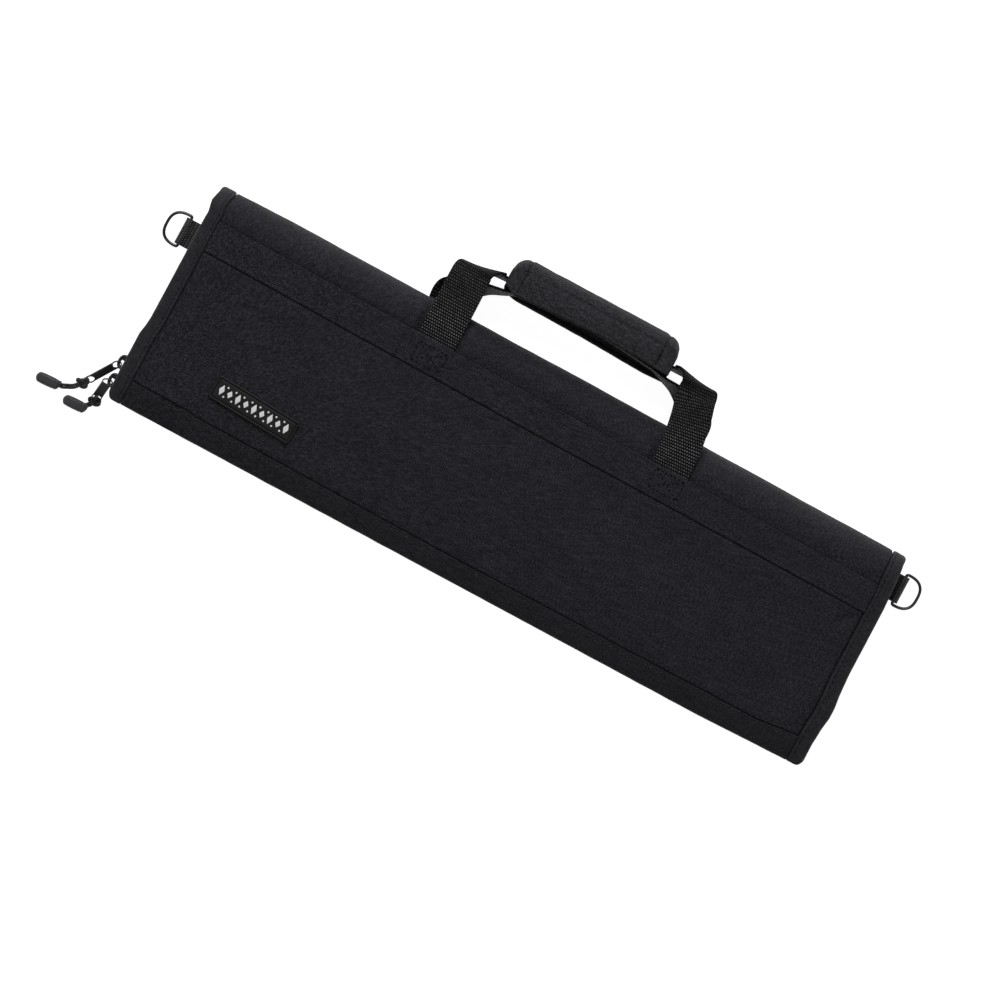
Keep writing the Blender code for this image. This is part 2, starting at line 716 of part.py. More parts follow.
def build_slider(name, y, way):
    """A slider that closes away from the other one. way is 1 for the upper one."""
    x = shaped(-(HALF_LENGTH - ZIP_INSET), y, MID_Z).x
    long = SLIDER_LENGTH / 2
    wide = SLIDER_WIDTH / 2
    slot = SLIDER_SLOT
    outer = SLIDER_SLOT + SLIDER_PLATE
    post = -way * (long - SLIDER_POST / 2)
    post_span = (post - SLIDER_POST / 2, post + SLIDER_POST / 2)
    bar = SLIDER_ARCH_BAR
    arch = SLIDER_ARCH
    foot = long - SLIDER_ARCH_INSET
    thin = bar / 2
    boxes = [
        (-outer, -slot, -long, long, -wide, wide),
        (slot, outer, -long, long, -wide, wide),
        (-outer, outer, *post_span, -SLIDER_POST / 2, SLIDER_POST / 2),
        (-arch, -slot, -foot, bar - foot, -thin, thin),
        (-arch, -slot, foot - bar, foot, -thin, thin),
        (-arch, -arch + bar, -foot, foot, -thin, thin),
    ]
    blocks(name, boxes, "dark metal", Matrix.Translation((x, y, MID_Z)))


def from_side(spot):
    """A place whose x is counted from the roll's left side, in millimetres."""
    return Vector(spot) * MM - Vector((HALF_LENGTH, 0.0, 0.0))


def pull_frame(tab):
    """Place of a pull tab: X along it from its eye, Z up from its flat face."""
    eye, direction, turn = tab
    along = Vector(direction).normalized()
    across = Vector((0, 0, 1)).cross(along).normalized()
    frame = Matrix((along, across, along.cross(across))).transposed().to_4x4()
    roll = Matrix.Rotation(math.radians(-turn), 4, "X")
    return Matrix.Translation(from_side(eye)) @ frame @ roll


def ring_of(centre, radius, count, start=0.0, sweep=2 * math.pi):
    return [
        (
            centre + radius * math.cos(start + sweep * n / count),
            radius * math.sin(start + sweep * n / count),
        )
        for n in range(count)
    ]


def build_tab(name, tab):
    """Flat bar with a round eye at each end."""
    place = pull_frame(tab)
    half = TAB_THICKNESS / 2
    start = math.asin(TAB_HALF_WIDTH / TAB_EYE_RADIUS)
    sweep = 2 * math.pi - 2 * start
    turns = 14
    ends = turns * sweep / (turns - 1)
    outline = ring_of(0.0, TAB_EYE_RADIUS, turns, start, ends)
    outline += ring_of(TAB_HOLES, TAB_EYE_RADIUS, turns, math.pi + start, ends)
    loops = [[place @ Vector((x, y, z)) for x, y in outline] for z in (-half, half)]
    obj = loft(name, loops, "pull metal", smooth=False)
    for k, x in enumerate((0.0, TAB_HOLES)):
        ring = ring_of(x, TAB_EYE_HOLE, 12)
        deep = 2 * TAB_THICKNESS
        hole = [[place @ Vector((a, b, z)) for a, b in ring] for z in (-deep, deep)]
        cutter = loft(name + "_hole_" + str(k), hole, "pull metal", smooth=False)
        cutter.hide_render = True
        cutter.display_type = "WIRE"
        cut = obj.modifiers.new("hole " + str(k), "BOOLEAN")
        cut.operation = "DIFFERENCE"
        cut.solver = "EXACT"
        cut.object = cutter


def build_cord(name, tab, start, end):
    """A cord whose knot and doubled run are one swelling tube."""
    place = pull_frame(tab)
    centres = [place @ (Vector(c) * MM) for c, _, _ in start] + [from_side(c) for c, _, _ in end]
    sizes = [(wide * MM, high * MM) for _, wide, high in start + end]
    sides = 10
    loops = []
    across = place.to_3x3() @ Vector((0, 1, 0))
    for k, centre in enumerate(centres):
        before = centres[max(k - 1, 0)]
        after = centres[min(k + 1, len(centres) - 1)]
        along = (after - before).normalized()
        across = (across - across.dot(along) * along).normalized()
        up = along.cross(across)
        wide, high = sizes[k]
        loop = []
        for n in range(sides):
            angle = 2 * math.pi * n / sides
            loop.append(centre + across * wide * math.cos(angle) + up * high * math.sin(angle))
        loops.append(loop)
    loft(name, loops, "cord")


def build_grip(name, centre, turn):
    """Rounded rubber grip lying on the floor."""
    half = GRIP_LENGTH / 2
    sides = 12
    place = Matrix.Translation(from_side(centre)) @ Matrix.Rotation(math.radians(turn), 4, "Z")
    loops = []
    for share, size in (
        (-1.0, 0.62),
        (-0.95, 0.84),
        (-0.8, 0.98),
        (0.0, 1.0),
        (0.8, 0.98),
        (0.95, 0.84),
        (1.0, 0.62),
    ):
        loop = []
        for n in range(sides):
            angle = 2 * math.pi * (n + 0.5) / sides
            c = math.cos(angle)
            s = math.sin(angle)
            y = size * GRIP_HALF_WIDTH * math.copysign(abs(c) ** 0.6, c)
            z = size * GRIP_HALF_HEIGHT * math.copysign(abs(s) ** 0.6, s)
            loop.append(place @ Vector((share * half, y, z)))
        loops.append(loop)
    loft(name, loops, "grip rubber")


def build_ring(name, bar, side):
    """D-ring whose straight bar runs along Y. side is -1 on the left."""
    place = Matrix.Translation((side * (HALF_LENGTH + bar[0] * MM), bar[1] * MM, MID_Z))
    corner = RING_CORNER
    high = RING_HALF_HEIGHT
    path = [(0.0, corner - high), (0.0, 0.0), (0.0, high - corner)]
    path += [(0.35 * corner, high - 0.25 * corner), (corner, high)]
    steps = 12
    for k in range(1, steps):
        angle = math.pi / 2 - math.pi * k / steps
        reach = corner + (RING_DEPTH - corner) * math.cos(angle) ** 0.75
        path.append((reach, high * math.copysign(abs(math.sin(angle)) ** 0.75, angle)))
    path += [(corner, -high), (0.35 * corner, 0.25 * corner - high)]
    loops = []
    for k, (x, y) in enumerate(path):
        before = path[k - 1]
        after = path[(k + 1) % len(path)]
        along = Vector((side * (after[0] - before[0]), after[1] - before[1], 0)).normalized()
        out = Vector((along.y, -along.x, 0))
        centre = Vector((side * x, y, 0))
        loop = []
        for n in range(8):
            angle = 2 * math.pi * n / 8
            spoke = out * math.cos(angle) + Vector((0, 0, 1)) * math.sin(angle)
            loop.append(centre + spoke * RING_WIRE)
        loops.append(loop)
    obj = loft(name, loops, "dark metal", closed=True)
    obj.matrix_world = place
    return obj


def build_ring_tab(name, bar, side):
    """Webbing folded round the ring's bar, its two ends sewn into the end of the zip."""
    thick = RING_TAB_THICKNESS
    hole = RING_WIRE + RING_CLEARANCE
    slit = RING_TAB_SLIT
    root = -ZIP_INSET - RING_TAB_ROOT - bar[0] * MM
    centre = Vector((side * (HALF_LENGTH + bar[0] * MM), bar[1] * MM, MID_Z))
    lean = math.asin(slit / hole)
    outer_lean = math.asin((slit + thick) / (hole + thick))
    steps = 10
    inner = []
    outer = []
    for k in range(steps + 1):
        t = k / steps
        angle = math.pi - lean - (2 * math.pi - 2 * lean) * t
        inner.append((hole * math.cos(angle), hole * math.sin(angle)))
        angle = math.pi - outer_lean - (2 * math.pi - 2 * outer_lean) * t
        outer.append(((hole + thick) * math.cos(angle), (hole + thick) * math.sin(angle)))
    section = [(root, slit)] + inner + [(root, -slit), (root, -slit - thick)]
    section += outer[::-1] + [(root, slit + thick)]
    half = RING_TAB_WIDTH / 2
    loops = []
    for y in (-half, half):
        loops.append([centre + Vector((side * d, y, z)) for d, z in section])
    loft(name, loops, "webbing")


def smooth_line(points, keys, steps):
    """Points of a smooth line through the given ones, whose keys are their distances along it."""
    last = len(points) - 1
    slopes = []
    for k in range(last + 1):
        a = max(k - 1, 0)
        b = min(k + 1, last)
        slopes.append((points[b] - points[a]) / (keys[b] - keys[a]))
    result = []
    for k in range(last):
        span = keys[k + 1] - keys[k]
        for n in range(steps):
            t = n / steps
            result.append(
                points[k] * (2 * t**3 - 3 * t * t + 1)
                + slopes[k] * (span * (t**3 - 2 * t * t + t))
                + points[k + 1] * (3 * t * t - 2 * t**3)
                + slopes[k + 1] * (span * (t**3 - t * t))
            )
    result.append(points[-1])
    return result


def build_webbing(name, stations):
    knots = [Vector(c) * MM for c, _ in stations]
    keys = [0.0]
    for a, b in zip(knots, knots[1:]):
        keys.append(keys[-1] + (b - a).length)
    centres = smooth_line(knots, keys, WEBBING_STEPS)
    widths = smooth_line([Vector(w).normalized() for _, w in stations], keys, WEBBING_STEPS)
    loops = []
    for k, centre in enumerate(centres):
        before = centres[max(k - 1, 0)]
        after = centres[min(k + 1, len(centres) - 1)]
        along = (after - before).normalized()
        across = widths[k] - widths[k].dot(along) * along
        across = across.normalized() * WEBBING_WIDTH / 2
        up = along.cross(across).normalized() * WEBBING_THICKNESS / 2
        loops.append(
            [
                centre + across + up,
                centre - across + up,
                centre - across - up,
                centre + across - up,
            ]
        )
    loft(name, loops, "webbing")


def build_handle_wrap():
    middle = (HANDLE_WRAP_LEFT + HANDLE_WRAP_RIGHT) / 2
    half = (HANDLE_WRAP_RIGHT - HANDLE_WRAP_LEFT) / 2
    shares = (-1.0, -0.97, -0.91, -0.84, -0.6, -0.3, 0.0, 0.3, 0.6, 0.84, 0.91, 0.97, 1.0)
    outer = []
    inner = []
    for share in shares:
        x = middle + share * half
        side = half - abs(x - middle)
        t = max(0.0, 1 - side / HANDLE_WRAP_CORNER)
        top = HANDLE_WRAP_TOP - HANDLE_WRAP_CORNER * (1 - math.sqrt(max(0.0, 1 - t * t)))
        centre = top - HANDLE_WRAP_CROWN
        rows = ([], [])
        for layer, inset in ((rows[0], 0.0), (rows[1], HANDLE_WRAP_WALL)):
            deep = HANDLE_WRAP_HALF_DEPTH - inset
            crown = HANDLE_WRAP_CROWN - inset
            front = table(FRONT_LIP, "x", "y", x)
            back = table(BACK_LIP, "x", "y", x)
            layer.append(Vector((x, front, HANDLE_WRAP_Z + deep)))
            layer.append(Vector((x, (front + centre) / 2, HANDLE_WRAP_Z + deep)))
            for k in range(9):
                angle = math.pi * k / 8
                z = HANDLE_WRAP_Z + deep * math.cos(angle)
                layer.append(Vector((x, centre + crown * math.sin(angle), z)))
            layer.append(Vector((x, (back + centre) / 2, HANDLE_WRAP_Z - deep)))
            layer.append(Vector((x, back, HANDLE_WRAP_Z - deep)))
        outer.append(rows[0])
        inner.append(rows[1])
    shell("handle_wrap", outer, inner, "woven cloth")


def build_patch():
    """Rubber patch with a raised rim, following the panel."""
    turn = math.radians(PATCH_TURN)
    centre = (PATCH_CENTRE[0] * MM, PATCH_CENTRE[1] * MM)
    low = PATCH_LIFT
    high = PATCH_LIFT + PATCH_THICKNESS
    field = high - PATCH_FIELD_DROP
    loops = []
    for inset, n in ((0.0, low), (0.0, high), (PATCH_RIM, high), (PATCH_RIM + 0.2 * MM, field)):
        radius = max(PATCH_RADIUS - inset, 0.4 * MM)
        far_x = PATCH_LENGTH / 2 - inset - radius
        far_y = PATCH_WIDTH / 2 - inset - radius
        loop = []
        for quarter, (sx, sy) in enumerate(((1, 1), (-1, 1), (-1, -1), (1, -1))):
            for k in range(4):
                angle = math.pi / 2 * (quarter + k / 3)
                px = sx * far_x + radius * math.cos(angle)
                py = sy * far_y + radius * math.sin(angle)
                x = centre[0] + px * math.cos(turn) - py * math.sin(turn)
                y = centre[1] + px * math.sin(turn) + py * math.cos(turn)
                loop.append(Vector((x, y, front_height(x, y) + n)))
        loops.append(loop)
    loft("patch", loops, "patch rubber", smooth=False)


clear_scene()
build_cover()
build_band("front_band", "front")
build_band("back_band", "back")
build_hem("front_hem", "front")
build_hem("back_hem", "back")
build_binding("left_binding", -1)
build_binding("right_binding", 1)
build_zip_tape("front_zip_tape", 1)
build_zip_tape("back_zip_tape", -1)
upper_run, lower_run = chain_parts()
build_chain("upper_zip_chain", upper_run)
build_chain("lower_zip_chain", lower_run)
build_slider("upper_slider", UPPER_SLIDER_Y, 1)
build_slider("lower_slider", LOWER_SLIDER_Y, -1)
build_tab("upper_pull_tab", UPPER_TAB)
build_tab("lower_pull_tab", LOWER_TAB)
build_cord("upper_pull_cord", UPPER_TAB, UPPER_CORD_START, UPPER_CORD_END)
build_cord("lower_pull_cord", LOWER_TAB, LOWER_CORD_START, LOWER_CORD_END)
build_grip("upper_grip", UPPER_GRIP, UPPER_GRIP_TURN)
build_grip("lower_grip", LOWER_GRIP, LOWER_GRIP_TURN)
build_ring("left_d_ring", LEFT_RING_BAR, -1)
build_ring("right_d_ring", RIGHT_RING_BAR, 1)
build_ring_tab("left_ring_tab", LEFT_RING_BAR, -1)
build_ring_tab("right_ring_tab", RIGHT_RING_BAR, 1)
build_webbing("front_webbing", FRONT_WEBBING)
build_webbing("back_webbing", BACK_WEBBING)
build_handle_wrap()
build_patch()
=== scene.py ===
import math
import random

import bmesh
import bpy
from mathutils import Matrix, Vector, noise


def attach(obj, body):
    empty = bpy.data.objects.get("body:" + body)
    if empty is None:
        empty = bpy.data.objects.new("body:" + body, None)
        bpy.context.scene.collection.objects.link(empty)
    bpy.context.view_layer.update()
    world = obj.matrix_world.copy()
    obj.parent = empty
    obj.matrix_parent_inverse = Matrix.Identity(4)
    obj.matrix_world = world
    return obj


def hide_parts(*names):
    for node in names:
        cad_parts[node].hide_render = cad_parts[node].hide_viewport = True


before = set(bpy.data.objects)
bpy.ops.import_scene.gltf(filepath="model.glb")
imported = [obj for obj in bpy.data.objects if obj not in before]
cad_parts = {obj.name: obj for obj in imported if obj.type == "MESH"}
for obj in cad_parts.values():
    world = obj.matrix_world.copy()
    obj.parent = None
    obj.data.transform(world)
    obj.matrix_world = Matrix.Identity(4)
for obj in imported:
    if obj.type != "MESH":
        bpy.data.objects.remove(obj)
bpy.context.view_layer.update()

MM = 0.001

# Sizes of the roll in metres, and tables of (places, values) or of points in millimetres
HALF_LENGTH = 235.5 * MM
MID_Z = 19.0 * MM
PADDING = 4.2 * MM
EDGE_FALL = 3.5 * MM
FALL_REACH = 26.0 * MM
DOME_HEIGHT = 1.5 * MM
DOME_BOTTOM = -60.0 * MM
DOME_TOP = 28.0 * MM
CORNER_RADIUS = 5.0 * MM
EDGE_SHAPE_REACH = 24.0 * MM
TOP_EDGE = ((-235, -184, -104, 8, 104, 235), (72.3, 72.9, 72.2, 72.1, 71.1, 70.1))
BOTTOM_EDGE = ((-235, 168, 200, 235), (-73.3, -73.3, -72.5, -71.7))
LEFT_EDGE = (
    (-73, -30, -24, -18, 50, 54, 62, 70),
    (-236.6, -236.9, -235.9, -235.3, -235.3, -235.1, -236.5, -234.9),
)
RIGHT_EDGE = (
    (-73, -56, -46, -38, -30, -22, -8, 36, 62, 66),
    (236.9, 236.5, 237.1, 238.2, 238.2, 237.1, 236.3, 236.0, 234.4, 233.9),
)
BAND_TOP = ((-226, 0, 226), (51.7, 48.9, 47.0))
BAND_BOTTOM = ((-226, 0, 226), (31.8, 29.2, 28.4))
HEM_TOP = ((-226, -195, -180, 0, 200, 226), (-57.4, -57.4, -58.6, -59.6, -58.5, -55.4))
BINDING_WIDTH = 9.3 * MM
PRESS_REACH = 9.8 * MM
PRESSED = -1.4 * MM
INNER_BASE = -5.55 * MM

WEBBING_WIDTH = 24.6 * MM
WEBBING_THICKNESS = 1.6 * MM
FRONT_STRAPS = (-77.2 * MM, 82.7 * MM)
BACK_STRAPS = (-79.4 * MM, 82.4 * MM)
STRAP_PRESS = 3.2 * MM
FOLD_PRESS = ((0, 22.5, 45, 67.5), (1.0, 0.84, 0.3, 0.0))
FRONT_WEBBING = (
    ((-77.2, 33.0, 35.8), (1, 0, 0)),
    ((-77.2, 50.0, 35.8), (1, 0, 0)),
    ((-77.3, 66.0, 35.8), (1, 0, 0)),
    ((-77.5, 82.0, 35.2), (1, 0, 0)),
    ((-77.7, 93.0, 33.8), (1, 0, 0)),
    ((-77.2, 99.4, 30.6), (0.93, -0.05, 0.36)),
    ((-71.5, 102.8, 22.4), (0.64, 0.1, 0.77)),
    ((-64.0, 103.9, 16.2), (0.12, 0.13, 0.99)),
    ((-56.5, 103.7, 15.2), (0, 0.05, 1)),
    ((0.0, 105.8, 15.2), (0, 0, 1)),
    ((54.5, 103.6, 15.2), (0, 0.05, 1)),
    ((61.5, 104.2, 16.2), (-0.12, 0.13, 0.99)),
    ((69.4, 104.2, 22.4), (-0.64, 0.1, 0.77)),
    ((75.0, 101.0, 30.6), (-0.93, -0.1, 0.36)),
    ((76.4, 93.0, 33.8), (-0.98, -0.19, 0)),
    ((79.2, 82.0, 35.2), (-0.98, -0.17, 0)),
    ((81.8, 66.0, 35.8), (-0.99, -0.12, 0)),
    ((83.0, 50.0, 35.8), (-1, -0.05, 0)),
    ((83.3, 33.0, 35.8), (-1, 0, 0)),
)
BACK_WEBBING = (
    ((-79.0, 33.0, 2.2), (1, 0, 0)),
    ((-79.2, 50.0, 2.2), (1, 0, 0)),
    ((-80.4, 66.0, 2.2), (0.99, 0.1, 0)),
    ((-82.6, 75.5, 3.4), (0.98, 0.1, -0.05)),
    ((-82.4, 82.5, 6.6), (0.93, -0.1, -0.33)),
    ((-76.0, 88.4, 12.0), (0.5, -0.32, -0.8)),
    ((-67.0, 92.2, 14.8), (0.15, -0.2, -0.97)),
    ((-57.0, 95.4, 15.2), (0, -0.1, -1)),
    ((-46.0, 98.6, 15.2), (0, -0.03, -1)),
    ((0.0, 100.6, 15.2), (0, 0, -1)),
    ((44.0, 97.6, 15.2), (0, -0.03, -1)),
    ((55.0, 95.0, 15.2), (0, -0.1, -1)),
    ((65.0, 92.8, 14.8), (-0.15, -0.25, -0.96)),
    ((74.4, 89.4, 12.0), (-0.5, -0.38, -0.78)),
    ((80.6, 84.0, 6.6), (-0.93, -0.1, -0.33)),
    ((81.4, 75.5, 3.4), (-0.99, 0.0, -0.05)),
    ((81.8, 66.0, 2.2), (-0.99, -0.05, 0)),
    ((82.8, 50.0, 2.2), (-1, -0.05, 0)),
    ((83.0, 33.0, 2.2), (-1, 0, 0)),
)

WRAP_LEFT = -57.6 * MM
WRAP_RIGHT = 55.1 * MM
WRAP_TOP = 120.6 * MM
WRAP_Z = 15.2 * MM
WRAP_HALF_DEPTH = 14.9 * MM
WRAP_CROWN = 6.5 * MM
WRAP_WALL = 2.2 * MM
WRAP_CORNER = 9.0 * MM
FRONT_LIP = ((-57.6, -54, -48, 0, 40, 55.1), (101.5, 98.5, 96.9, 99.6, 98.9, 98.0))
BACK_LIP = ((-57.6, -54, -48, 0, 40, 55.1), (99.5, 97.2, 95.8, 95.2, 93.8, 94.4))
WRAP_SEAMS_X = (-48.5 * MM, 45.2 * MM)
WRAP_SEAMS_Y = (112.6 * MM, 116.3 * MM)
LIP_SEAM = 2.3 * MM
FRONT_PIPING_Z = WRAP_Z + WRAP_HALF_DEPTH - 0.75 * MM
BACK_PIPING_Z = WRAP_Z - WRAP_HALF_DEPTH + 1.7 * MM

ZIP_INSET = 3.0 * MM
ZIP_CORNER = 2.6 * MM
ZIP_HALF_GAP = 3.45 * MM
CHAIN_BREAK = (-60.6 * MM, -50.6 * MM)
# Core of the closed zip in millimetres: along Z, and out of the roll
CORE_SECTION = ((-3.1, -0.4), (-3.1, 0.25), (-1.9, 0.4), (1.9, 0.4), (3.1, 0.25), (3.1, -0.4))

UPPER_SLIDER_Y = -50.0 * MM
LOWER_SLIDER_Y = -62.4 * MM
TAB_HOLES = 19.5 * MM
UPPER_TAB = ((-240.4, -53.2, 19.3), (-10.3, -15.3, -6.4), 48.0)
LOWER_TAB = ((-240.4, -64.9, 19.0), (-2.2, -11.4, -15.6), 22.0)
UPPER_GRIP = ((-273.3, -81.5, 3.25), 3.0)
LOWER_GRIP = ((-252.4, -86.2, 3.25), 2.0)
# How far the cord's collar sits from the grip's middle line, in millimetres
GRIP_COLLAR = 1.4

RING_WIRE = 0.95 * MM
RING_HALF_HEIGHT = 10.2 * MM
RING_DEPTH = 12.0 * MM
RING_CORNER = 1.1 * MM
RING_TAB_WIDTH = 17.2 * MM
RING_TAB_THICKNESS = 1.3 * MM
LEFT_RING_BAR = (-242.3, 36.7)
RIGHT_RING_BAR = (239.0, 51.2)

PATCH_SIZE = (56.0 * MM, 15.0 * MM)
PATCH_CENTRE = (-154.0 * MM, -37.7 * MM)
PATCH_TURN = math.radians(-3.0)

STITCH_PITCH = 3.4 * MM
# A stitch from end to end: place, size and lift
STITCH_SHAPE = (
    (-0.5, 0.35, -0.55),
    (-0.36, 0.85, 0.0),
    (0.0, 1.0, 0.25),
    (0.36, 0.85, 0.0),
    (0.5, 0.35, -0.55),
)
# Box seams over the webbing's ends in millimetres: left and right of each box, low and high
BOX_SEAMS = (
    ("front", ((-86.1, -66.6), (75.1, 94.6))),
    ("back", ((-88.9, -69.3), (73.1, 92.5))),
)
BOX_LOW = 33.8
BOX_HIGH = 45.8

# Cloth in millimetres: width of a yarn, and cells of coarse grain in each millimetre
YARN = 0.62
GRAIN_CELLS = 1.6
# Webbing in millimetres: rows of threads along the strap, columns across it, and how far
# from a strap's end it turns down, past which its colour is darkened as painted shade
THREAD_ROW = 1.8
THREAD_COLUMN = 1.5
WEBBING_FOLD = 62.0

# Soft dents of the panel: two ends in millimetres, half width and depth
CREASES = (
    ((221, 24), (214, 13), 2.2, 1.7),
    ((222, 20), (208, 26), 2.6, 1.0),
    ((-209, -46), (-196, -57), 3.2, 1.3),
    ((-222, -50), (-206, -56), 3.0, 0.9),
    ((-215, -22), (-204, -34), 3.5, 0.5),
    ((137, -44), (170, -20), 7.0, 0.55),
    ((170, -50), (205, -36), 8.0, 0.45),
    ((-60, 4), (40, -6), 16.0, 0.35),
    ((60, 14), (120, 2), 12.0, 0.35),
    ((-200, 10), (-150, 18), 12.0, 0.3),
    ((196, 60), (178, 66), 4.0, 0.45),
)

# The same for the front hem
HEM_CREASES = (
    ((-197, -58), (-193, -72), 2.2, 1.5),
    ((-207, -60), (-200, -68), 2.8, 0.8),
    ((120, -60), (124, -70), 5.0, 0.3),
)
# Middle line of the hem, where its creases are read
HEM_MIDDLE = -64.0 * MM

# Shapes of the slider in millimetres: half of a plate, the crown, the post and the web
PLATE_HALF = ((5.0, 1.6), (3.6, 4.6), (-0.5, 4.5), (-4.9, 3.4))
CROWN = ((3.6, 1.9), (-3.6, 1.9), (-3.6, -1.9), (3.6, -1.9))
POST = ((4.7, 1.0), (2.4, 0.5), (2.4, -0.5), (4.7, -1.0))
WEB = ((0.9, 2.6), (0.9, 6.1), (2.6, 5.6), (3.6, 4.4), (3.7, 2.6))

# Patch in millimetres: inset and height of each step of its rim, then size and height of
# each step of its diamonds and dots
PATCH_RIM = (
    (0.55, -0.1), (0.35, 0.45), (0.0, 0.75), (0.0, 1.3), (0.1, 1.52), (0.3, 1.68),
    (0.6, 1.74), (0.95, 1.7), (1.15, 1.55), (1.25, 0.8), (1.6, 0.78), (1.75, 1.28),
    (1.95, 1.36), (3.2, 1.36), (4.8, 1.36), (6.2, 1.36),
)
DIAMOND_STEPS = ((1.0, 1.2), (1.0, 1.6), (0.93, 1.72), (0.8, 1.76))
DOT_STEPS = ((1.0, 1.2), (1.0, 1.6), (0.85, 1.72), (0.6, 1.76))
DIAMONDS = 9
MARKS_REACH = 22.4

# Camera straight above the roll, turned about its view, in radians and metres
VIEW_TURN = math.radians(28.3)
VIEW_CENTRE = (0.0016, -0.0155)
VIEW_WIDTH = 0.6024
VIEW_DISTANCE = 4.0


# Shape of the closed roll


def table(pairs, at):
    """Straight-line reading of a table in millimetres, for a place in metres."""
    keys, values = pairs
    t = at / MM
    if t <= keys[0]:
        return values[0] * MM
    for k in range(1, len(keys)):
        if t <= keys[k]:
            share = (t - keys[k - 1]) / (keys[k] - keys[k - 1])
            return (values[k - 1] + share * (values[k] - values[k - 1])) * MM
    return values[-1] * MM


def ease(t):
    t = min(max(t, 0.0), 1.0)
    return t * t * (3 - 2 * t)


def bell(distance, width):
    return math.exp(-((distance / width) ** 2))


def spaced(low, high, count):
    """Even steps from low to high, both included."""
    return [low + (high - low) * k / count for k in range(count + 1)]


def stitch_dip(along, depth):
    """Depth of a stitched groove, deepest at each stitch."""
    return depth * (0.7 + 0.3 * math.cos(2 * math.pi * along / STITCH_PITCH))


def soft(x, y, size, seed=0.0):
    """Smooth noise in -1 to 1 with features of this size."""
    return noise.noise(Vector((x / size, y / size, seed)))


def fall(distance):
    share = max(0.0, (FALL_REACH - max(distance, 0.0)) / FALL_REACH)
    return EDGE_FALL * share * share


def half_height(x):
    return MID_Z - fall(HALF_LENGTH - abs(x))


def fold_start(x):
    return table(TOP_EDGE, x) - half_height(x)


def bottom(x):
    return table(BOTTOM_EDGE, x)


def dome(x, y):
    if not DOME_BOTTOM < y < DOME_TOP:
        return 0.0
    along = min(1.0, abs(x) / (HALF_LENGTH - FALL_REACH))
    across = (2 * y - DOME_TOP - DOME_BOTTOM) / (DOME_TOP - DOME_BOTTOM)
    return DOME_HEIGHT * (1 - along**4) * (1 - across * across) ** 2


def front_height(x, y):
    return MID_Z + half_height(x) - fall(y - bottom(x)) + dome(x, y)


def shaped(x, y, z):
    side = HALF_LENGTH - abs(x)
    low = y - bottom(x)
    if side < CORNER_RADIUS and low < CORNER_RADIUS:
        p = (CORNER_RADIUS - side) / CORNER_RADIUS
        q = (CORNER_RADIUS - low) / CORNER_RADIUS
        side = CORNER_RADIUS * (1 - p * math.sqrt(1 - q * q / 2))
        low = CORNER_RADIUS * (1 - q * math.sqrt(1 - p * p / 2))
        y = bottom(x) + low
        x = math.copysign(HALF_LENGTH - side, x)
    share = max(0.0, 1 - max(side, 0.0) / EDGE_SHAPE_REACH)
    if x < 0:
        x += share * (table(LEFT_EDGE, y) + HALF_LENGTH)
    else:
        x += share * (table(RIGHT_EDGE, y) - HALF_LENGTH)
    return Vector((x, y, z))


def face_point(x, row):
    """Point of the face. A row is ("front", y), ("fold", angle) or ("back", y)."""
    kind, value = row
    if kind == "fold":
        radius = half_height(x)
        angle = math.radians(value)
        return shaped(x, fold_start(x) + radius * math.sin(angle), MID_Z + radius * math.cos(angle))
    if kind == "front":
        return shaped(x, value, front_height(x, value))
    return shaped(x, value, MID_Z - half_height(x) + fall(value - bottom(x)))


def face_normal(x, row):
    kind, value = row
    reach = HALF_LENGTH - CORNER_RADIUS
    x = min(max(x, -reach), reach)
    if kind != "fold":
        row = (kind, max(value, bottom(x) + CORNER_RADIUS))
        value = row[1]
    step = 0.2 * MM
    turn = 0.5 if kind == "fold" else step
    if kind == "back":
        turn = -step
    along = face_point(x + step, row) - face_point(x - step, row)
    across = face_point(x, (kind, value + turn)) - face_point(x, (kind, value - turn))
    return along.cross(across).normalized()


def layer_point(x, row, n):
    return face_point(x, row) + n * face_normal(x, row)


def from_crease(x, y, crease):
    """How deep a crease is at this place."""
    (x0, y0), (x1, y1), width, depth = crease
    px, py = x / MM - x0, y / MM - y0
    dx, dy = x1 - x0, y1 - y0
    t = min(max((px * dx + py * dy) / (dx * dx + dy * dy), 0.0), 1.0)
    away = math.hypot(px - t * dx, py - t * dy)
    if away > 3 * width:
        return 0.0
    return depth * MM * bell(away, width) * (0.45 + 0.55 * math.sin(math.pi * t))


def strap_share(x, kind, value):
    """How far a handle strap presses the cloth at this place, from 0 to 1."""
    straps = FRONT_STRAPS if kind == "front" or (kind == "fold" and value < 90) else BACK_STRAPS
    away = min(abs(x - s) for s in straps)
    share = 1 - ease((away - 12.7 * MM) / (4.2 * MM))
    if kind == "fold":
        return share * table(FOLD_PRESS, min(value, 180 - value) * MM) / MM
    return share * ease((value - table(BAND_BOTTOM, x) - 0.5 * MM) / (1.4 * MM))


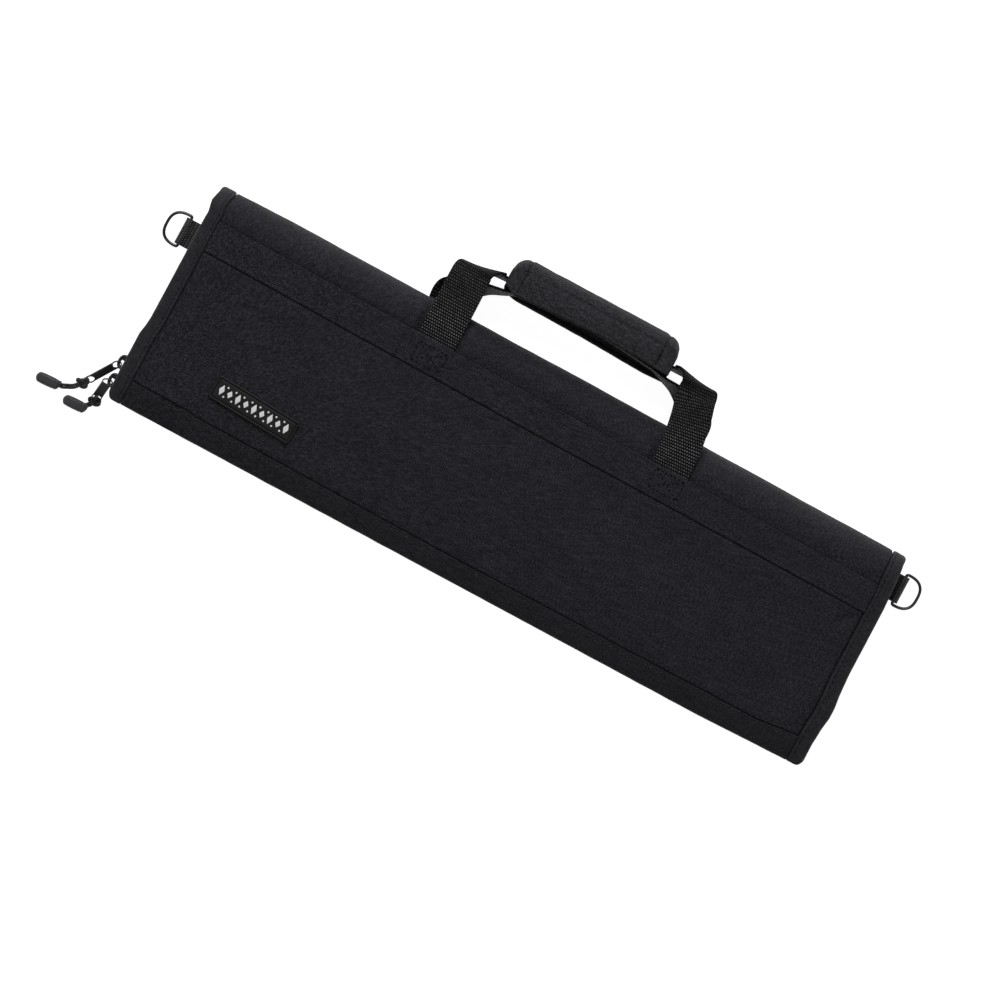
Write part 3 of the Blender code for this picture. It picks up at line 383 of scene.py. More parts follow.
def cover_height(x, row):
    """Height of the cloth above the plain face."""
    kind, value = row
    side = HALF_LENGTH - abs(x) - PRESS_REACH
    edge = side
    sunk = PRESSED
    creases = 0.0
    y = value * MM if kind == "fold" else value
    if kind != "fold":
        if y > (table(BAND_TOP, x) + table(BAND_BOTTOM, x)) / 2:
            edge = min(side, y - table(BAND_TOP, x))
            sunk = PRESSED if edge == side else 0.3 * PRESSED
        else:
            edge = min(side, y - table(HEM_TOP, x), table(BAND_BOTTOM, x) - y)
    if kind == "front":
        creases = sum(from_crease(x, y, c) for c in CREASES)
    seed = {"front": 1.0, "fold": 7.0, "back": 4.0}[kind]
    height = sunk
    if edge > 0:
        calm = ease(edge / (7 * MM))
        height = sunk * bell(edge, 0.45 * MM) - 0.35 * MM * math.exp(-edge / (5 * MM))
        height += 0.32 * MM * calm * soft(x, y, 48 * MM, seed)
        height += 0.16 * MM * calm * soft(x, y, 17 * MM, seed + 3)
        height += 0.05 * MM * soft(x, y, 5 * MM, seed + 9)
        height += 0.16 * MM * bell(edge - 2.4 * MM, 2.2 * MM) * soft(x, y, 3.4 * MM, seed + 5)
        height -= creases * calm
    pushed = strap_share(x, kind, value)
    return min(height, height * (1 - pushed) - STRAP_PRESS * pushed)


# Meshes


def arc(points, unit=MM):
    """Length of a line up to each of its points."""
    total = [0.0]
    for a, b in zip(points, points[1:]):
        total.append(total[-1] + (b - a).length / unit)
    return total


def new_piece(name, points, faces, corners, mat, body="roll", smooth=True, outward=True):
    mesh = bpy.data.meshes.new(name)
    mesh.from_pydata([tuple(p) for p in points], [], faces)
    layer = mesh.uv_layers.new(name="UVMap")
    flat = [c for corner in corners for c in corner]
    layer.data.foreach_set("uv", flat)
    if outward:
        work = bmesh.new()
        work.from_mesh(mesh)
        bmesh.ops.recalc_face_normals(work, faces=work.faces)
        work.to_mesh(mesh)
        work.free()
    if smooth:
        mesh.shade_smooth()
    obj = bpy.data.objects.new(name, mesh)
    mesh.materials.append(mat)
    bpy.context.scene.collection.objects.link(obj)
    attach(obj, body)
    return obj


def loft(name, loops, mat, smooth=True, swap=False, sizes=None):
    """A closed solid through loops of points. UVs are millimetres across and along it."""
    return new_piece(name, *loft_data(loops, False, swap, sizes), mat, smooth=smooth)


def loft_data(loops, closed=False, swap=False, sizes=None):
    size = len(loops[0])
    middle = loops[len(loops) // 2]
    across = arc(list(middle) + [middle[0]])
    line = [sum(loop, Vector()) / size for loop in loops]
    if closed:
        line.append(line[0])
    along = sizes or arc(line)
    points = [p for loop in loops for p in loop]
    faces = []
    corners = []
    spans = len(loops) if closed else len(loops) - 1
    for i in range(spans):
        k = (i + 1) % len(loops)
        for j in range(size):
            m = (j + 1) % size
            faces.append((i * size + j, i * size + m, k * size + m, k * size + j))
            quad = (
                (across[j], along[i]),
                (across[j + 1], along[i]),
                (across[j + 1], along[i + 1]),
                (across[j], along[i + 1]),
            )
            corners += [(b, a) for a, b in quad] if swap else quad
    if not closed:
        for start in (0, (len(loops) - 1) * size):
            faces.append(tuple(start + j for j in range(size)))
            corners += [(across[j], 0.0) for j in range(size)]
    return points, faces, corners


def joined(parts):
    """One set of mesh data from several."""
    points, faces, corners = [], [], []
    for some_points, some_faces, some_corners in parts:
        shift = len(points)
        points += some_points
        faces += [tuple(shift + k for k in face) for face in some_faces]
        corners += some_corners
    return points, faces, corners


def circle(centre, one, two, radius, count, high=None):
    high = radius if high is None else high
    return [
        centre
        + one * (radius * math.cos(2 * math.pi * n / count))
        + two * (high * math.sin(2 * math.pi * n / count))
        for n in range(count)
    ]


def tube_data(centres, radii, count=12, closed=False, first=Vector((0, 0, 1)), highs=None):
    """A tube along centres with a radius at each, its section carried without twist."""
    loops = []
    one = first
    total = len(centres)
    for k, centre in enumerate(centres):
        before, after = max(k - 1, 0), min(k + 1, total - 1)
        if closed:
            before, after = k - 1, (k + 1) % total
        along = (centres[after] - centres[before]).normalized()
        one = (one - one.dot(along) * along).normalized()
        two = along.cross(one)
        radius = radii[k] if isinstance(radii, (list, tuple)) else radii
        high = highs[k] if highs else radius
        loops.append(circle(centre, one, two, radius, count, high))
    return loft_data(loops, closed)


def smooth_line(points, steps, keys=None):
    """Points of a smooth line through the given ones."""
    keys = keys or arc(points, 1.0)
    last = len(points) - 1
    slopes = []
    for k in range(last + 1):
        a, b = max(k - 1, 0), min(k + 1, last)
        slopes.append((points[b] - points[a]) / (keys[b] - keys[a]))
    result = []
    for k in range(last):
        span = keys[k + 1] - keys[k]
        for n in range(steps):
            t = n / steps
            result.append(
                points[k] * (2 * t**3 - 3 * t * t + 1)
                + slopes[k] * (span * (t**3 - 2 * t * t + t))
                + points[k + 1] * (3 * t * t - 2 * t**3)
                + slopes[k + 1] * (span * (t**3 - t * t))
            )
    return result + [points[-1]]


# Materials


class Graph:
    """Short calls for a material's nodes."""

    def __init__(self, name, rough, metallic=0.0, **sockets):
        self.mat = bpy.data.materials.new(name)
        self.mat.use_nodes = True
        self.tree = self.mat.node_tree
        self.shader = self.tree.nodes["Principled BSDF"]
        self.shader.inputs["Roughness"].default_value = rough
        self.shader.inputs["Metallic"].default_value = metallic
        for label, value in sockets.items():
            self.shader.inputs[label.replace("_", " ")].default_value = value

    def node(self, kind, *inputs, **settings):
        made = self.tree.nodes.new("ShaderNode" + kind)
        for key, value in settings.items():
            setattr(made, key, value)
        for place, value in enumerate(inputs):
            self.set(made.inputs[place], value)
        return made

    def set(self, socket, value):
        if isinstance(value, bpy.types.NodeSocket):
            self.tree.links.new(value, socket)
        elif value is not None:
            socket.default_value = value


    def math(self, operation, one, two=None):
        return self.node("Math", one, two, operation=operation).outputs[0]

    def times(self, first, *others):
        for other in others:
            first = self.math("MULTIPLY", first, other)
        return first

    def plus(self, one, two):
        return self.math("ADD", one, two)

    def less(self, one, two):
        return self.math("SUBTRACT", one, two)

    def floor(self, value):
        return self.math("FLOOR", value)

    def thread(self, place):
        """Rounded height across a thread, for a place counted in threads."""
        off = self.less(self.math("FRACT", place), 0.5)
        return self.less(1.0, self.times(off, off, 4.0))

    def spread(self, value, to_low, to_high, low=0.0, high=1.0):
        return self.node("MapRange", value, low, high, to_low, to_high).outputs[0]

    def uv(self):
        split = self.node("SeparateXYZ", self.node("UVMap", uv_map="UVMap").outputs[0])
        return split.outputs[0], split.outputs[1]

    def flat(self, u, v):
        return self.node("CombineXYZ", u, v, 0.0).outputs[0]

    def noise(self, scale, detail, rough, vector=None):
        made = self.node("TexNoise")
        self.set(made.inputs["Vector"], vector or self.node("TexCoord").outputs["Object"])
        made.inputs["Scale"].default_value = scale
        made.inputs["Detail"].default_value = detail
        made.inputs["Roughness"].default_value = rough
        return made.outputs["Fac"]

    def white(self, one, two):
        made = self.node("TexWhiteNoise", noise_dimensions="2D")
        self.set(made.inputs["Vector"], self.flat(one, two))
        return made.outputs["Value"]

    def tint(self, colour, factor):
        """colour times a number, into the base colour."""
        vector = self.node("VectorMath", operation="SCALE")
        vector.inputs[0].default_value = colour
        self.set(vector.inputs["Scale"], factor)
        self.set(self.shader.inputs["Base Color"], vector.outputs[0])

    def roughen(self, value):
        self.set(self.shader.inputs["Roughness"], value)

    def bump(self, height, distance):
        made = self.node("Bump")
        made.inputs["Strength"].default_value = 1.0
        made.inputs["Distance"].default_value = distance
        self.set(made.inputs["Height"], height)
        self.set(self.shader.inputs["Normal"], made.outputs[0])


def plain_weave(graph, pitch_u, pitch_v, wobble):
    """Height of a plain weave, and a random number for each crossing."""
    u, v = graph.uv()
    shift = graph.times(graph.less(graph.noise(0.35, 1.0, 0.5, graph.flat(u, v)), 0.5), wobble)
    u = graph.math("DIVIDE", graph.plus(u, shift), pitch_u)
    v = graph.math("DIVIDE", graph.plus(v, shift), pitch_v)
    cell_u, cell_v = graph.floor(u), graph.floor(v)
    dome_u, dome_v = graph.thread(u), graph.thread(v)
    picked = graph.node("Mix", data_type="FLOAT")
    parity = graph.math("FLOORED_MODULO", graph.plus(cell_u, cell_v), 2.0)
    graph.set(picked.inputs["Factor"], parity)
    for label, one, two in (("A", dome_u, dome_v), ("B", dome_v, dome_u)):
        over = graph.times(one, graph.plus(0.35, graph.times(two, 0.65)))
        graph.set(picked.inputs[label], over)
    return picked.outputs["Result"], graph.white(cell_u, cell_v)


def cloth(name, colour, speckle, sheen, grain, specular=0.15):
    """Woven polyester cloth: weave, uneven yarns, patches of wear and rare lint."""
    graph = Graph(name, 0.72, Specular_IOR_Level=specular, Sheen_Weight=sheen, Sheen_Roughness=0.45)
    height, chance = plain_weave(graph, YARN, YARN, 0.35)
    u, v = graph.uv()
    place = graph.flat(u, v)
    yarn = graph.spread(chance, 1 - speckle, 1 + speckle)
    slub = graph.spread(graph.noise(0.85, 2.0, 0.7, place), 0.84, 1.16, 0.3, 0.7)
    patch = graph.spread(graph.noise(0.028, 3.0, 0.55, place), 0.9, 1.1, 0.3, 0.7)
    cell_u = graph.floor(graph.times(u, GRAIN_CELLS))
    cell_v = graph.floor(graph.times(v, GRAIN_CELLS))
    coarse = graph.spread(graph.white(cell_u, cell_v), 1 - grain, 1 + grain)
    shade = graph.times(graph.spread(height, 0.62, 1.14), yarn, slub, patch, coarse)
    lint = graph.math("GREATER_THAN", graph.white(cell_v, cell_u), 0.9993)
    graph.tint(colour, graph.plus(shade, graph.times(lint, 0.9)))
    loose = graph.times(graph.noise(1.7, 2.0, 0.6, place), 0.7)
    graph.bump(graph.plus(height, loose), 0.1 * MM)
    graph.roughen(graph.spread(chance, 0.6, 0.84))
    return graph.mat


def grosgrain(name, colour, speckle, depth, sheen):
    """Binding tape: fine ribs across a tape, close to plain cloth."""
    graph = Graph(name, 0.72, Specular_IOR_Level=0.22, Sheen_Weight=sheen, Sheen_Roughness=0.45)
    height, chance = plain_weave(graph, 0.9, 0.62, 0.25)
    place = graph.flat(*graph.uv())
    yarn = graph.spread(chance, 1 - speckle, 1 + speckle)
    patch = graph.spread(graph.noise(0.3, 3.0, 0.65, place), 0.62, 1.38, 0.3, 0.7)
    graph.tint(colour, graph.times(graph.spread(height, 0.62, 1.14), yarn, patch))
    graph.bump(height, depth)
    graph.roughen(graph.spread(chance, 0.6, 0.82))
    return graph.mat


def webbing_material(name, colour, specular, shine, sparkle_at=None):
    """Heavy webbing: raised threads, every second row shifted, each thread top lightened as a
    painted glint. Given a distance from the strap's end, the painted glints there are stronger and
    the gaps darker, a painted sparkle; past WEBBING_FOLD the colour is darkened as painted shade.
    """
    graph = Graph(name, 0.5, Specular_IOR_Level=specular, Sheen_Weight=0.005, Sheen_Roughness=0.4)
    u, v = graph.uv()
    row = graph.math("DIVIDE", v, THREAD_ROW)
    cell_v = graph.floor(row)
    stagger = graph.times(graph.math("FLOORED_MODULO", cell_v, 2.0), 0.5)
    column = graph.plus(graph.math("DIVIDE", u, THREAD_COLUMN), stagger)
    height = graph.times(graph.thread(column), graph.thread(row))
    chance = graph.white(graph.floor(column), cell_v)
    # Painted glint on each raised thread's top
    painted_glint = graph.math("POWER", height, 3.4)
    if sparkle_at:
        # Painted sparkle round the given distance from the end: brighter thread tops, darker gaps
        away = graph.math("DIVIDE", graph.less(v, sparkle_at), 12.0)
        painted_sparkle = graph.math("EXPONENT", graph.times(away, away, -1.0))
        low = graph.spread(painted_sparkle, 0.7, 0.02)
        high = graph.spread(painted_sparkle, 9.0, shine)
        level = graph.plus(low, graph.times(painted_glint, graph.less(high, low)))
        # Painted shade past WEBBING_FOLD, where the strap twists into the wrap
        painted_fold_shade = graph.spread(v, 1.0, 0.4, WEBBING_FOLD, WEBBING_FOLD + 6.0)
        level = graph.times(level, painted_fold_shade)
    else:
        level = graph.spread(painted_glint, 0.4, shine)
    graph.tint(colour, graph.times(level, graph.spread(chance, 0.7, 1.3)))
    fibre = graph.noise(1.0, 2.0, 0.6, graph.flat(graph.times(u, 9.0), v))
    graph.bump(graph.plus(height, graph.times(fibre, 0.12)), 0.3 * MM)
    graph.roughen(graph.spread(chance, 0.4, 0.6))
    return graph.mat


def grained(name, colour, rough, metallic, grain, depth, specular=0.5, change=0.12):
    """Moulded, cast or plated surface with fine grain and worn spots."""
    graph = Graph(name, rough, metallic, Specular_IOR_Level=specular)
    wear = graph.noise(grain / 9, 3.0, 0.6)
    graph.tint(colour, graph.spread(wear, 1 - change, 1 + change, 0.3, 0.7))
    graph.bump(graph.noise(grain, 3.0, 0.6), depth)
    graph.roughen(graph.spread(wear, rough * 0.85, min(1.0, rough * 1.2), 0.3, 0.7))
    return graph.mat


def twisted(name, colour, pitch, depth, rough=0.5, specular=0.4, sheen=0.2):
    """Thread or cord: strands that wind round it."""
    graph = Graph(name, rough, Specular_IOR_Level=specular, Sheen_Weight=sheen, Sheen_Roughness=0.4)
    u, v = graph.uv()
    turns = 2 * math.pi / pitch
    one = graph.math("SINE", graph.times(graph.plus(u, v), turns))
    two = graph.math("SINE", graph.times(graph.less(u, v), turns))
    height = graph.times(graph.plus(one, two), 0.5)
    graph.tint(colour, graph.spread(height, 0.6, 1.3, -1.0, 1.0))
    graph.bump(height, depth)
    return graph.mat


CLOTH = cloth("woven cloth", (0.0181, 0.0171, 0.0228), 0.45, 0.045, 0.7)
# Darker copy of the cloth: painted shade, for the hem that curves away from the light and for the
# wrap's back piping under the front lip
SHADED_CLOTH = cloth("shaded cloth", (0.0148, 0.0141, 0.0183), 0.4, 0.045, 0.58)
WRAP_CLOTH = cloth("wrap cloth", (0.033, 0.032, 0.0375), 0.4, 0.01, 0.32, 0.08)

TAPE = grosgrain("binding tape", (0.0178, 0.0171, 0.022), 0.5, 0.09 * MM, 0.05)
ZIP_CLOTH = grosgrain("zip tape", (0.012, 0.012, 0.0135), 0.25, 0.06 * MM, 0.06)
# Strap webbing: painted sparkle 29 mm from each end, painted shade past WEBBING_FOLD
WEBBING = webbing_material("webbing", (0.009, 0.0088, 0.0095), 0.02, 20.0, 29.0)
# Much lighter copy of the strap webbing: painted light, lifting the tab out of the shade beside the
# ring and binding
LIT_TAB_WEBBING = webbing_material("lit ring tab webbing", (0.034, 0.0335, 0.036), 0.3, 3.2)
THREAD = twisted("seam thread", (0.0135, 0.013, 0.016), 0.5, 0.05 * MM)
PALE_THREAD = twisted("worn thread", (0.045, 0.044, 0.048), 0.5, 0.05 * MM)
# Thread far darker than the cloth: partly its own dark colour, partly painted shade of the stitch
# holes
DARK_THREAD = twisted("box stitch thread", (0.002, 0.002, 0.0035), 0.5, 0.05 * MM, 0.7, 0.08, 0.0)
CORD = twisted("braided cord", (0.014, 0.014, 0.0155), 0.9, 0.12 * MM, 0.45, 0.4, 0.08)
COIL = grained("zip coil", (0.012, 0.012, 0.013), 0.4, 0.0, 900, 0.02 * MM, 0.4)
RING_METAL = grained("dark ring metal", (0.06, 0.06, 0.065), 0.26, 0.85, 700, 0.01 * MM)
SLIDER_METAL = grained("dark slider metal", (0.03, 0.029, 0.033), 0.36, 0.3, 700, 0.015 * MM)
PULL_METAL = grained("pull metal", (0.05, 0.049, 0.053), 0.32, 0.5, 800, 0.012 * MM)
PULL_FIELD = grained("pull bar", (0.034, 0.033, 0.037), 0.6, 0.0, 800, 0.02 * MM, 0.06)
GRIP_RUBBER = grained("grip rubber", (0.047, 0.046, 0.051), 0.55, 0.0, 1100, 0.03 * MM, 0.3)
PATCH_RUBBER = grained("patch rubber", (0.0105, 0.0105, 0.0115), 0.5, 0.0, 1300, 0.025 * MM, 0.25)
PATCH_MARKS = grained("patch marks", (0.8, 0.8, 0.8), 0.55, 0.0, 1300, 0.02 * MM, 0.3, 0.04)


# Cloth pieces


def columns():
    """Places along the roll, closer together beside the bindings and the straps."""
    reach = HALF_LENGTH / MM - 1.4
    values = spaced(-reach, reach, 220)
    for side in (-1, 1):
        values += [side * (HALF_LENGTH / MM - d) for d in (8.6, 9.8, 10.2, 10.6, 11.2, 12.2)]
    for strap in FRONT_STRAPS + BACK_STRAPS:
        for away in (12.2, 13.2, 14.2, 15.2, 16.2):
            values += [strap / MM - away, strap / MM + away]
    values.sort()
    kept = [values[0]]
    for value in values[1:]:
        if value - kept[-1] > 0.35:
            kept.append(value)
    return [v * MM for v in kept]


def columns_between_bindings():
    end = HALF_LENGTH - PRESS_REACH
    return [-end] + [x for x in columns() if abs(x) < end - 0.5 * MM] + [end]


def panel_rows(x, kind):
    low, hem = bottom(x), table(HEM_TOP, x)
    band_low, band_high = table(BAND_BOTTOM, x), table(BAND_TOP, x)
    near = [d * MM for d in (0.15, 0.35, 0.6, 1.0, 1.9, 2.8, 4.2)]
    rows = [low + 1.4 * MM, low + 5 * MM, hem - 0.8 * MM, hem]
    rows += [hem + d for d in near]
    rows += spaced(hem + near[-1], band_low - near[-1], 32)[1:-1]
    rows += [band_low - d for d in near[::-1]]
    rows += [band_low, band_low + MM, (band_low + band_high) / 2, band_high - MM, band_high]
    rows += [band_high + d for d in near if band_high + d < fold_start(x) - 0.5 * MM]
    return [(kind, y) for y in rows]


def around(front, step):
    """Rows of the front panel, carried on over the fold and down the back panel."""
    back = [("back", y) for _, y in front[::-1]]
    return front + [("fold", angle) for angle in range(0, 181, step)] + back


def build_cover():
    xs = columns()
    size = min(len(panel_rows(x, "front")) for x in xs)
    loops = []
    for x in xs:
        rows = around(panel_rows(x, "front")[:size], 4)
        loop = [layer_point(x, row, cover_height(x, row)) for row in rows]
        for row in rows[::-5]:
            loop.append(layer_point(x, row, -PADDING - 0.6 * MM * strap_share(x, *row)))
        loops.append(loop)
    cover = loft("cover_cloth", loops, CLOTH, swap=True)
    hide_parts("cover")


def build_band(name, node, kind):
    seed = 2.0 if kind == "front" else 6.0
    straps = FRONT_STRAPS if kind == "front" else BACK_STRAPS
    near = (0.0, 0.12, 0.35, 0.7, 1.2, 1.7, 2.0, 2.3, 2.6, 3.1, 4.0, 5.5, 7.2)
    loops = []
    for x in columns_between_bindings():
        low, high = table(BAND_BOTTOM, x), table(BAND_TOP, x)
        width = high - low
        places = [d * MM for d in near] + [width / 2] + [width - d * MM for d in near[::-1]]
        bulge = max(1 - ease((abs(x - s) - 11.5 * MM) / (4 * MM)) for s in straps)
        loop = []
        for place in places:
            from_edge = min(place, width - place)
            inward = ease(from_edge / (3 * MM))
            height = 0.28 * MM - 0.75 * MM * max(0.0, 1 - from_edge / (0.7 * MM)) ** 2
            height -= bell(from_edge - 2.2 * MM, 0.5 * MM) * stitch_dip(x, 0.26 * MM)
            height += 0.14 * MM * soft(x, place, 9 * MM, seed)
            height += 0.05 * MM * soft(x, place, 3 * MM, seed + 1)
            height += 0.35 * MM * bulge * inward
            wave = 0.18 * MM * soft(x, 0.0, 14 * MM, seed + (5 if place < width / 2 else 8))
            loop.append(layer_point(x, (kind, low + place + wave * (1 - inward)), height))
        for share in (1.0, 0.66, 0.33, 0.0):
            loop.append(layer_point(x, (kind, low + width * share), -1.0 * MM))
        loops.append(loop)
    band = loft(name, loops, CLOTH, swap=True)
    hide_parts(node)


def edge_section(reach, ripple, groove):
    """Section of a folded tape round a panel's edge: distance from the edge, height."""
    top = 0.22
    outer = [(reach, -0.95), (reach + 0.02, -0.4), (reach - 0.12, -0.12), (reach - 0.45, 0.08)]
    outer += [(reach - 1.1, top), (reach - 1.6, top - 0.05), (reach - 1.9, top - groove)]
    outer += [(reach - 2.2, top - groove), (reach - 2.6, top - 0.04), (reach - 3.4, top)]
    flat = reach - 3.4
    outer += [(flat * s, top - 0.05 + 0.05 * ripple) for s in (0.8, 0.6, 0.42)]
    bulge, belly = -0.1 - 0.18 * ripple, -0.15 - 0.22 * ripple
    outer += [(1.9, 0.1), (1.1, -0.18), (0.5, -0.6), (0.12, -1.2), (bulge, -2.0)]
    outer += [(belly, -2.8), (bulge, -3.6), (0.12, -4.4), (0.5, -5.0)]
    outer += [(1.1, -5.4), (1.9, -5.58), (4.0, -5.62), (6.6, -5.62), (7.6, -5.5), (8.0, -5.1)]
    inner = [(8.0, -4.7), (7.4, -4.56), (1.4, -4.5), (1.0, -4.0), (1.0, -1.9), (1.5, -1.44)]
    inner += [(reach * 0.5, -1.42), (reach - 0.4, -1.42)]
    return [(d * MM, n * MM) for d, n in outer + inner]


def build_hem(name, node, kind):
    seed = 12.0 if kind == "front" else 16.0
    creases = HEM_CREASES if kind == "front" else ()
    loops = []
    for x in columns_between_bindings():
        wave = 0.2 * soft(x, 0.0, 13 * MM, seed)
        reach = (table(HEM_TOP, x) - bottom(x)) / MM + wave
        ripple = soft(x, 0.0, 11 * MM, seed + 2)
        dent = sum(from_crease(x, HEM_MIDDLE, c) for c in creases)
        loop = []
        for d, n in edge_section(reach, ripple, stitch_dip(x, 0.26)):
            lift = 0.12 * MM * soft(x, d, 8 * MM, seed + 4) - dent if n > -0.3 * MM else 0.0
            loop.append(layer_point(x, (kind, bottom(x) + d), n + lift))
        loops.append(loop)
    hem = loft(name, loops, SHADED_CLOTH, swap=True)
    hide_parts(node)


def build_binding(name, node, side):
    x_end = side * (HALF_LENGTH - 2 * MM)
    low = bottom(x_end) + 0.2 * MM
    rows = around([("front", y) for y in spaced(low, fold_start(x_end), 110)[:-1]], 4)
    middle = [layer_point(side * (HALF_LENGTH - 5 * MM), row, 0.0) for row in rows]
    loops = []
    for row, along in zip(rows, arc(middle, 1.0)):
        ripple = soft(along, 3.0 * side, 8 * MM, 21.0) + 0.5 * soft(along, side, 4 * MM, 25.0)
        wave = 0.28 * soft(along, side, 12 * MM, 23.0) + 0.14 * soft(along, side, 4.5 * MM, 27.0)
        loop = []
        for d, n in edge_section(BINDING_WIDTH / MM + wave, ripple, stitch_dip(along, 0.24)):
            lift = 0.2 * MM * soft(along, d * 0.6, 5.5 * MM, 29.0 + side) if n > -0.3 * MM else 0.0
            loop.append(layer_point(side * (HALF_LENGTH - d), row, n + lift))
        loops.append(loop)
    binding = loft(name, loops, TAPE)
    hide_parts(node)


# Stitches


def stitch_data(centre, along, normal, length, radius):
    across = normal.cross(along)
    loops = []
    for share, size, lift in STITCH_SHAPE:
        middle = centre + along * (share * length) + normal * (lift * radius)
        loops.append(circle(middle, across, normal, radius * size, 6, radius * size * 0.8))
    return loft_data(loops)


def stitches(name, lines, mat, pitch=STITCH_PITCH, length=2.4 * MM, radius=0.2 * MM, pale=0.0):
    """Stitches along lines, each a list of (point, normal). A share of them is pale."""
    chance = random.Random(len(lines) * 101 + 7)
    plain = []
    worn = []
    for line in lines:
        keys = arc([point for point, _ in line], 1.0)
        count = max(1, round(keys[-1] / pitch))
        k = 0
        for n in range(count):
            middle = (n + 0.5) * keys[-1] / count
            while keys[k + 1] < middle:
                k += 1
            (a, one), (b, two) = line[k], line[k + 1]
            t = (middle - keys[k]) / (keys[k + 1] - keys[k])
            normal = one.lerp(two, t).normalized()
            along = (b - a).normalized()
            along = (along - along.dot(normal) * normal).normalized()
            swing = normal.cross(along) * chance.uniform(-0.1, 0.1)
            size = radius * chance.uniform(0.85, 1.15)
            stitch = stitch_data(a.lerp(b, t), (along + swing).normalized(), normal, length, size)
            (worn if chance.random() < pale else plain).append(stitch)
    made = [new_piece(name, *joined(plain), mat, outward=False)]
    if worn:
        made.append(new_piece(name + "_pale", *joined(worn), PALE_THREAD, outward=False))
    return made


def face_line(places, n):
    """(point, normal) for places of the face, each (x, row)."""
    return [(layer_point(x, row, n), face_normal(x, row)) for x, row in places]


def build_seam_stitches():
    xs = [x * MM for x in spaced(-224.5, 224.5, 260)]
    lines = []
    for kind in ("front", "back"):
        for edge, inset in ((BAND_TOP, -2.2), (BAND_BOTTOM, 2.2), (HEM_TOP, -2.05)):
            places = [(x, (kind, table(edge, x) + inset * MM)) for x in xs]
            lines.append(face_line(places, 0.16 * MM))
    for seam in stitches("seam_stitches", lines, THREAD, pale=0.14):
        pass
    lines = []
    for side in (-1, 1):
        x = side * (HALF_LENGTH - BINDING_WIDTH + 2.05 * MM)
        front = [("front", y) for y in spaced(bottom(x) + 2 * MM, fold_start(x), 60)[:-1]]
        lines.append(face_line([(x, row) for row in around(front, 6)], 0.12 * MM))
    for seam in stitches("binding_stitches", lines, DARK_THREAD, radius=0.15 * MM):
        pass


def build_box_stitches():
    """Box with a cross over each end of the webbing."""
    lines = []
    for kind, straps in BOX_SEAMS:
        for left, right in straps:
            a, b = (left, BOX_LOW), (right, BOX_LOW)
            c, d = (right, BOX_HIGH), (left, BOX_HIGH)
            for (x0, y0), (x1, y1) in ((a, b), (b, c), (c, d), (d, a), (a, c), (b, d)):
                places = []
                for t in spaced(0.0, 1.0, 12):
                    row = (kind, (y0 + t * (y1 - y0)) * MM)
                    places.append(((x0 + t * (x1 - x0)) * MM, row))
                lines.append(face_line(places, 0.6 * MM))
    for seam in stitches("box_stitches", lines, DARK_THREAD, 2.7 * MM, 1.9 * MM, 0.3 * MM):
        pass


# Zip


def zip_height(x, y):
    below = -INNER_BASE + 0.1 * MM
    start = fold_start(x)
    if y > start:
        radius = half_height(x) - below
        return math.sqrt(max(radius * radius - (y - start) ** 2, (0.4 * MM) ** 2))
    return half_height(x) - fall(y - bottom(x)) - below - 0.3 * MM


def zip_line(step=2.0 * MM):
    """(x, y) of the plain line of the zip at even steps: left side down, bottom, right side up."""
    side = HALF_LENGTH - ZIP_INSET
    top = fold_start(side) + 10.0 * MM
    keys = [Vector((-side, top, 0.0)), Vector((-side, bottom(-side) + ZIP_INSET + ZIP_CORNER, 0.0))]
    for k in range(1, 6):
        turn = math.radians(90 * k / 5)
        x = -side + ZIP_CORNER * (1 - math.cos(turn))
        keys.append(Vector((x, bottom(-side) + ZIP_INSET + ZIP_CORNER * (1 - math.sin(turn)), 0.0)))
    for x in (-200, -100, 0, 100, 168, 200, 222):
        keys.append(Vector((x * MM, bottom(x * MM) + ZIP_INSET, 0.0)))
    for k in range(6):
        turn = math.radians(90 * k / 5)
        x = side - ZIP_CORNER * (1 - math.sin(turn))
        keys.append(Vector((x, bottom(side) + ZIP_INSET + ZIP_CORNER * (1 - math.cos(turn)), 0.0)))
    keys.append(Vector((side, top, 0.0)))
    line = [keys[0]]
    for a, b in zip(keys, keys[1:]):
        count = max(1, math.ceil((b - a).length / step))
        line += [a.lerp(b, n / count) for n in range(1, count + 1)]
    return line


def zip_frames(line):
    flat = [shaped(p.x, p.y, MID_Z) for p in line]
    frames = []
    for k, point in enumerate(flat):
        along = (flat[min(k + 1, len(flat) - 1)] - flat[max(k - 1, 0)]).normalized()
        frames.append((line[k].x, line[k].y, point, Vector((along.y, -along.x, 0.0)), along))
    return frames


def ring_bar(x):
    return LEFT_RING_BAR if x < 0 else RIGHT_RING_BAR


def tab_gap(x, y):
    """Half gap between the two tapes, closed above the ring tabs and open round them."""
    middle = ring_bar(x)[1] * MM
    if abs(x) < 0.2 or y < middle - RING_TAB_WIDTH / 2:
        return ZIP_HALF_GAP
    if y < middle + RING_TAB_WIDTH / 2:
        return 1.75 * MM
    return 0.18 * MM


def build_zip_tape(name, node, side):
    loops = []
    for x, y, point, out, _ in zip_frames(zip_line()):
        high = zip_height(x, y)
        low = min(tab_gap(x, y), high - 0.1 * MM)
        loop = []
        for half, ways in ((0.5 * MM, range(7)), (-0.5 * MM, range(6, -1, -1))):
            for k in ways:
                belly = 0.5 * MM * math.sin(math.pi * k / 6)
                z = side * (low + (high - low) * k / 6)
                loop.append(point + out * (half + belly) + Vector((0, 0, z)))
        loops.append(loop)
    tape = loft(name, loops, ZIP_CLOTH)
    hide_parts(node)


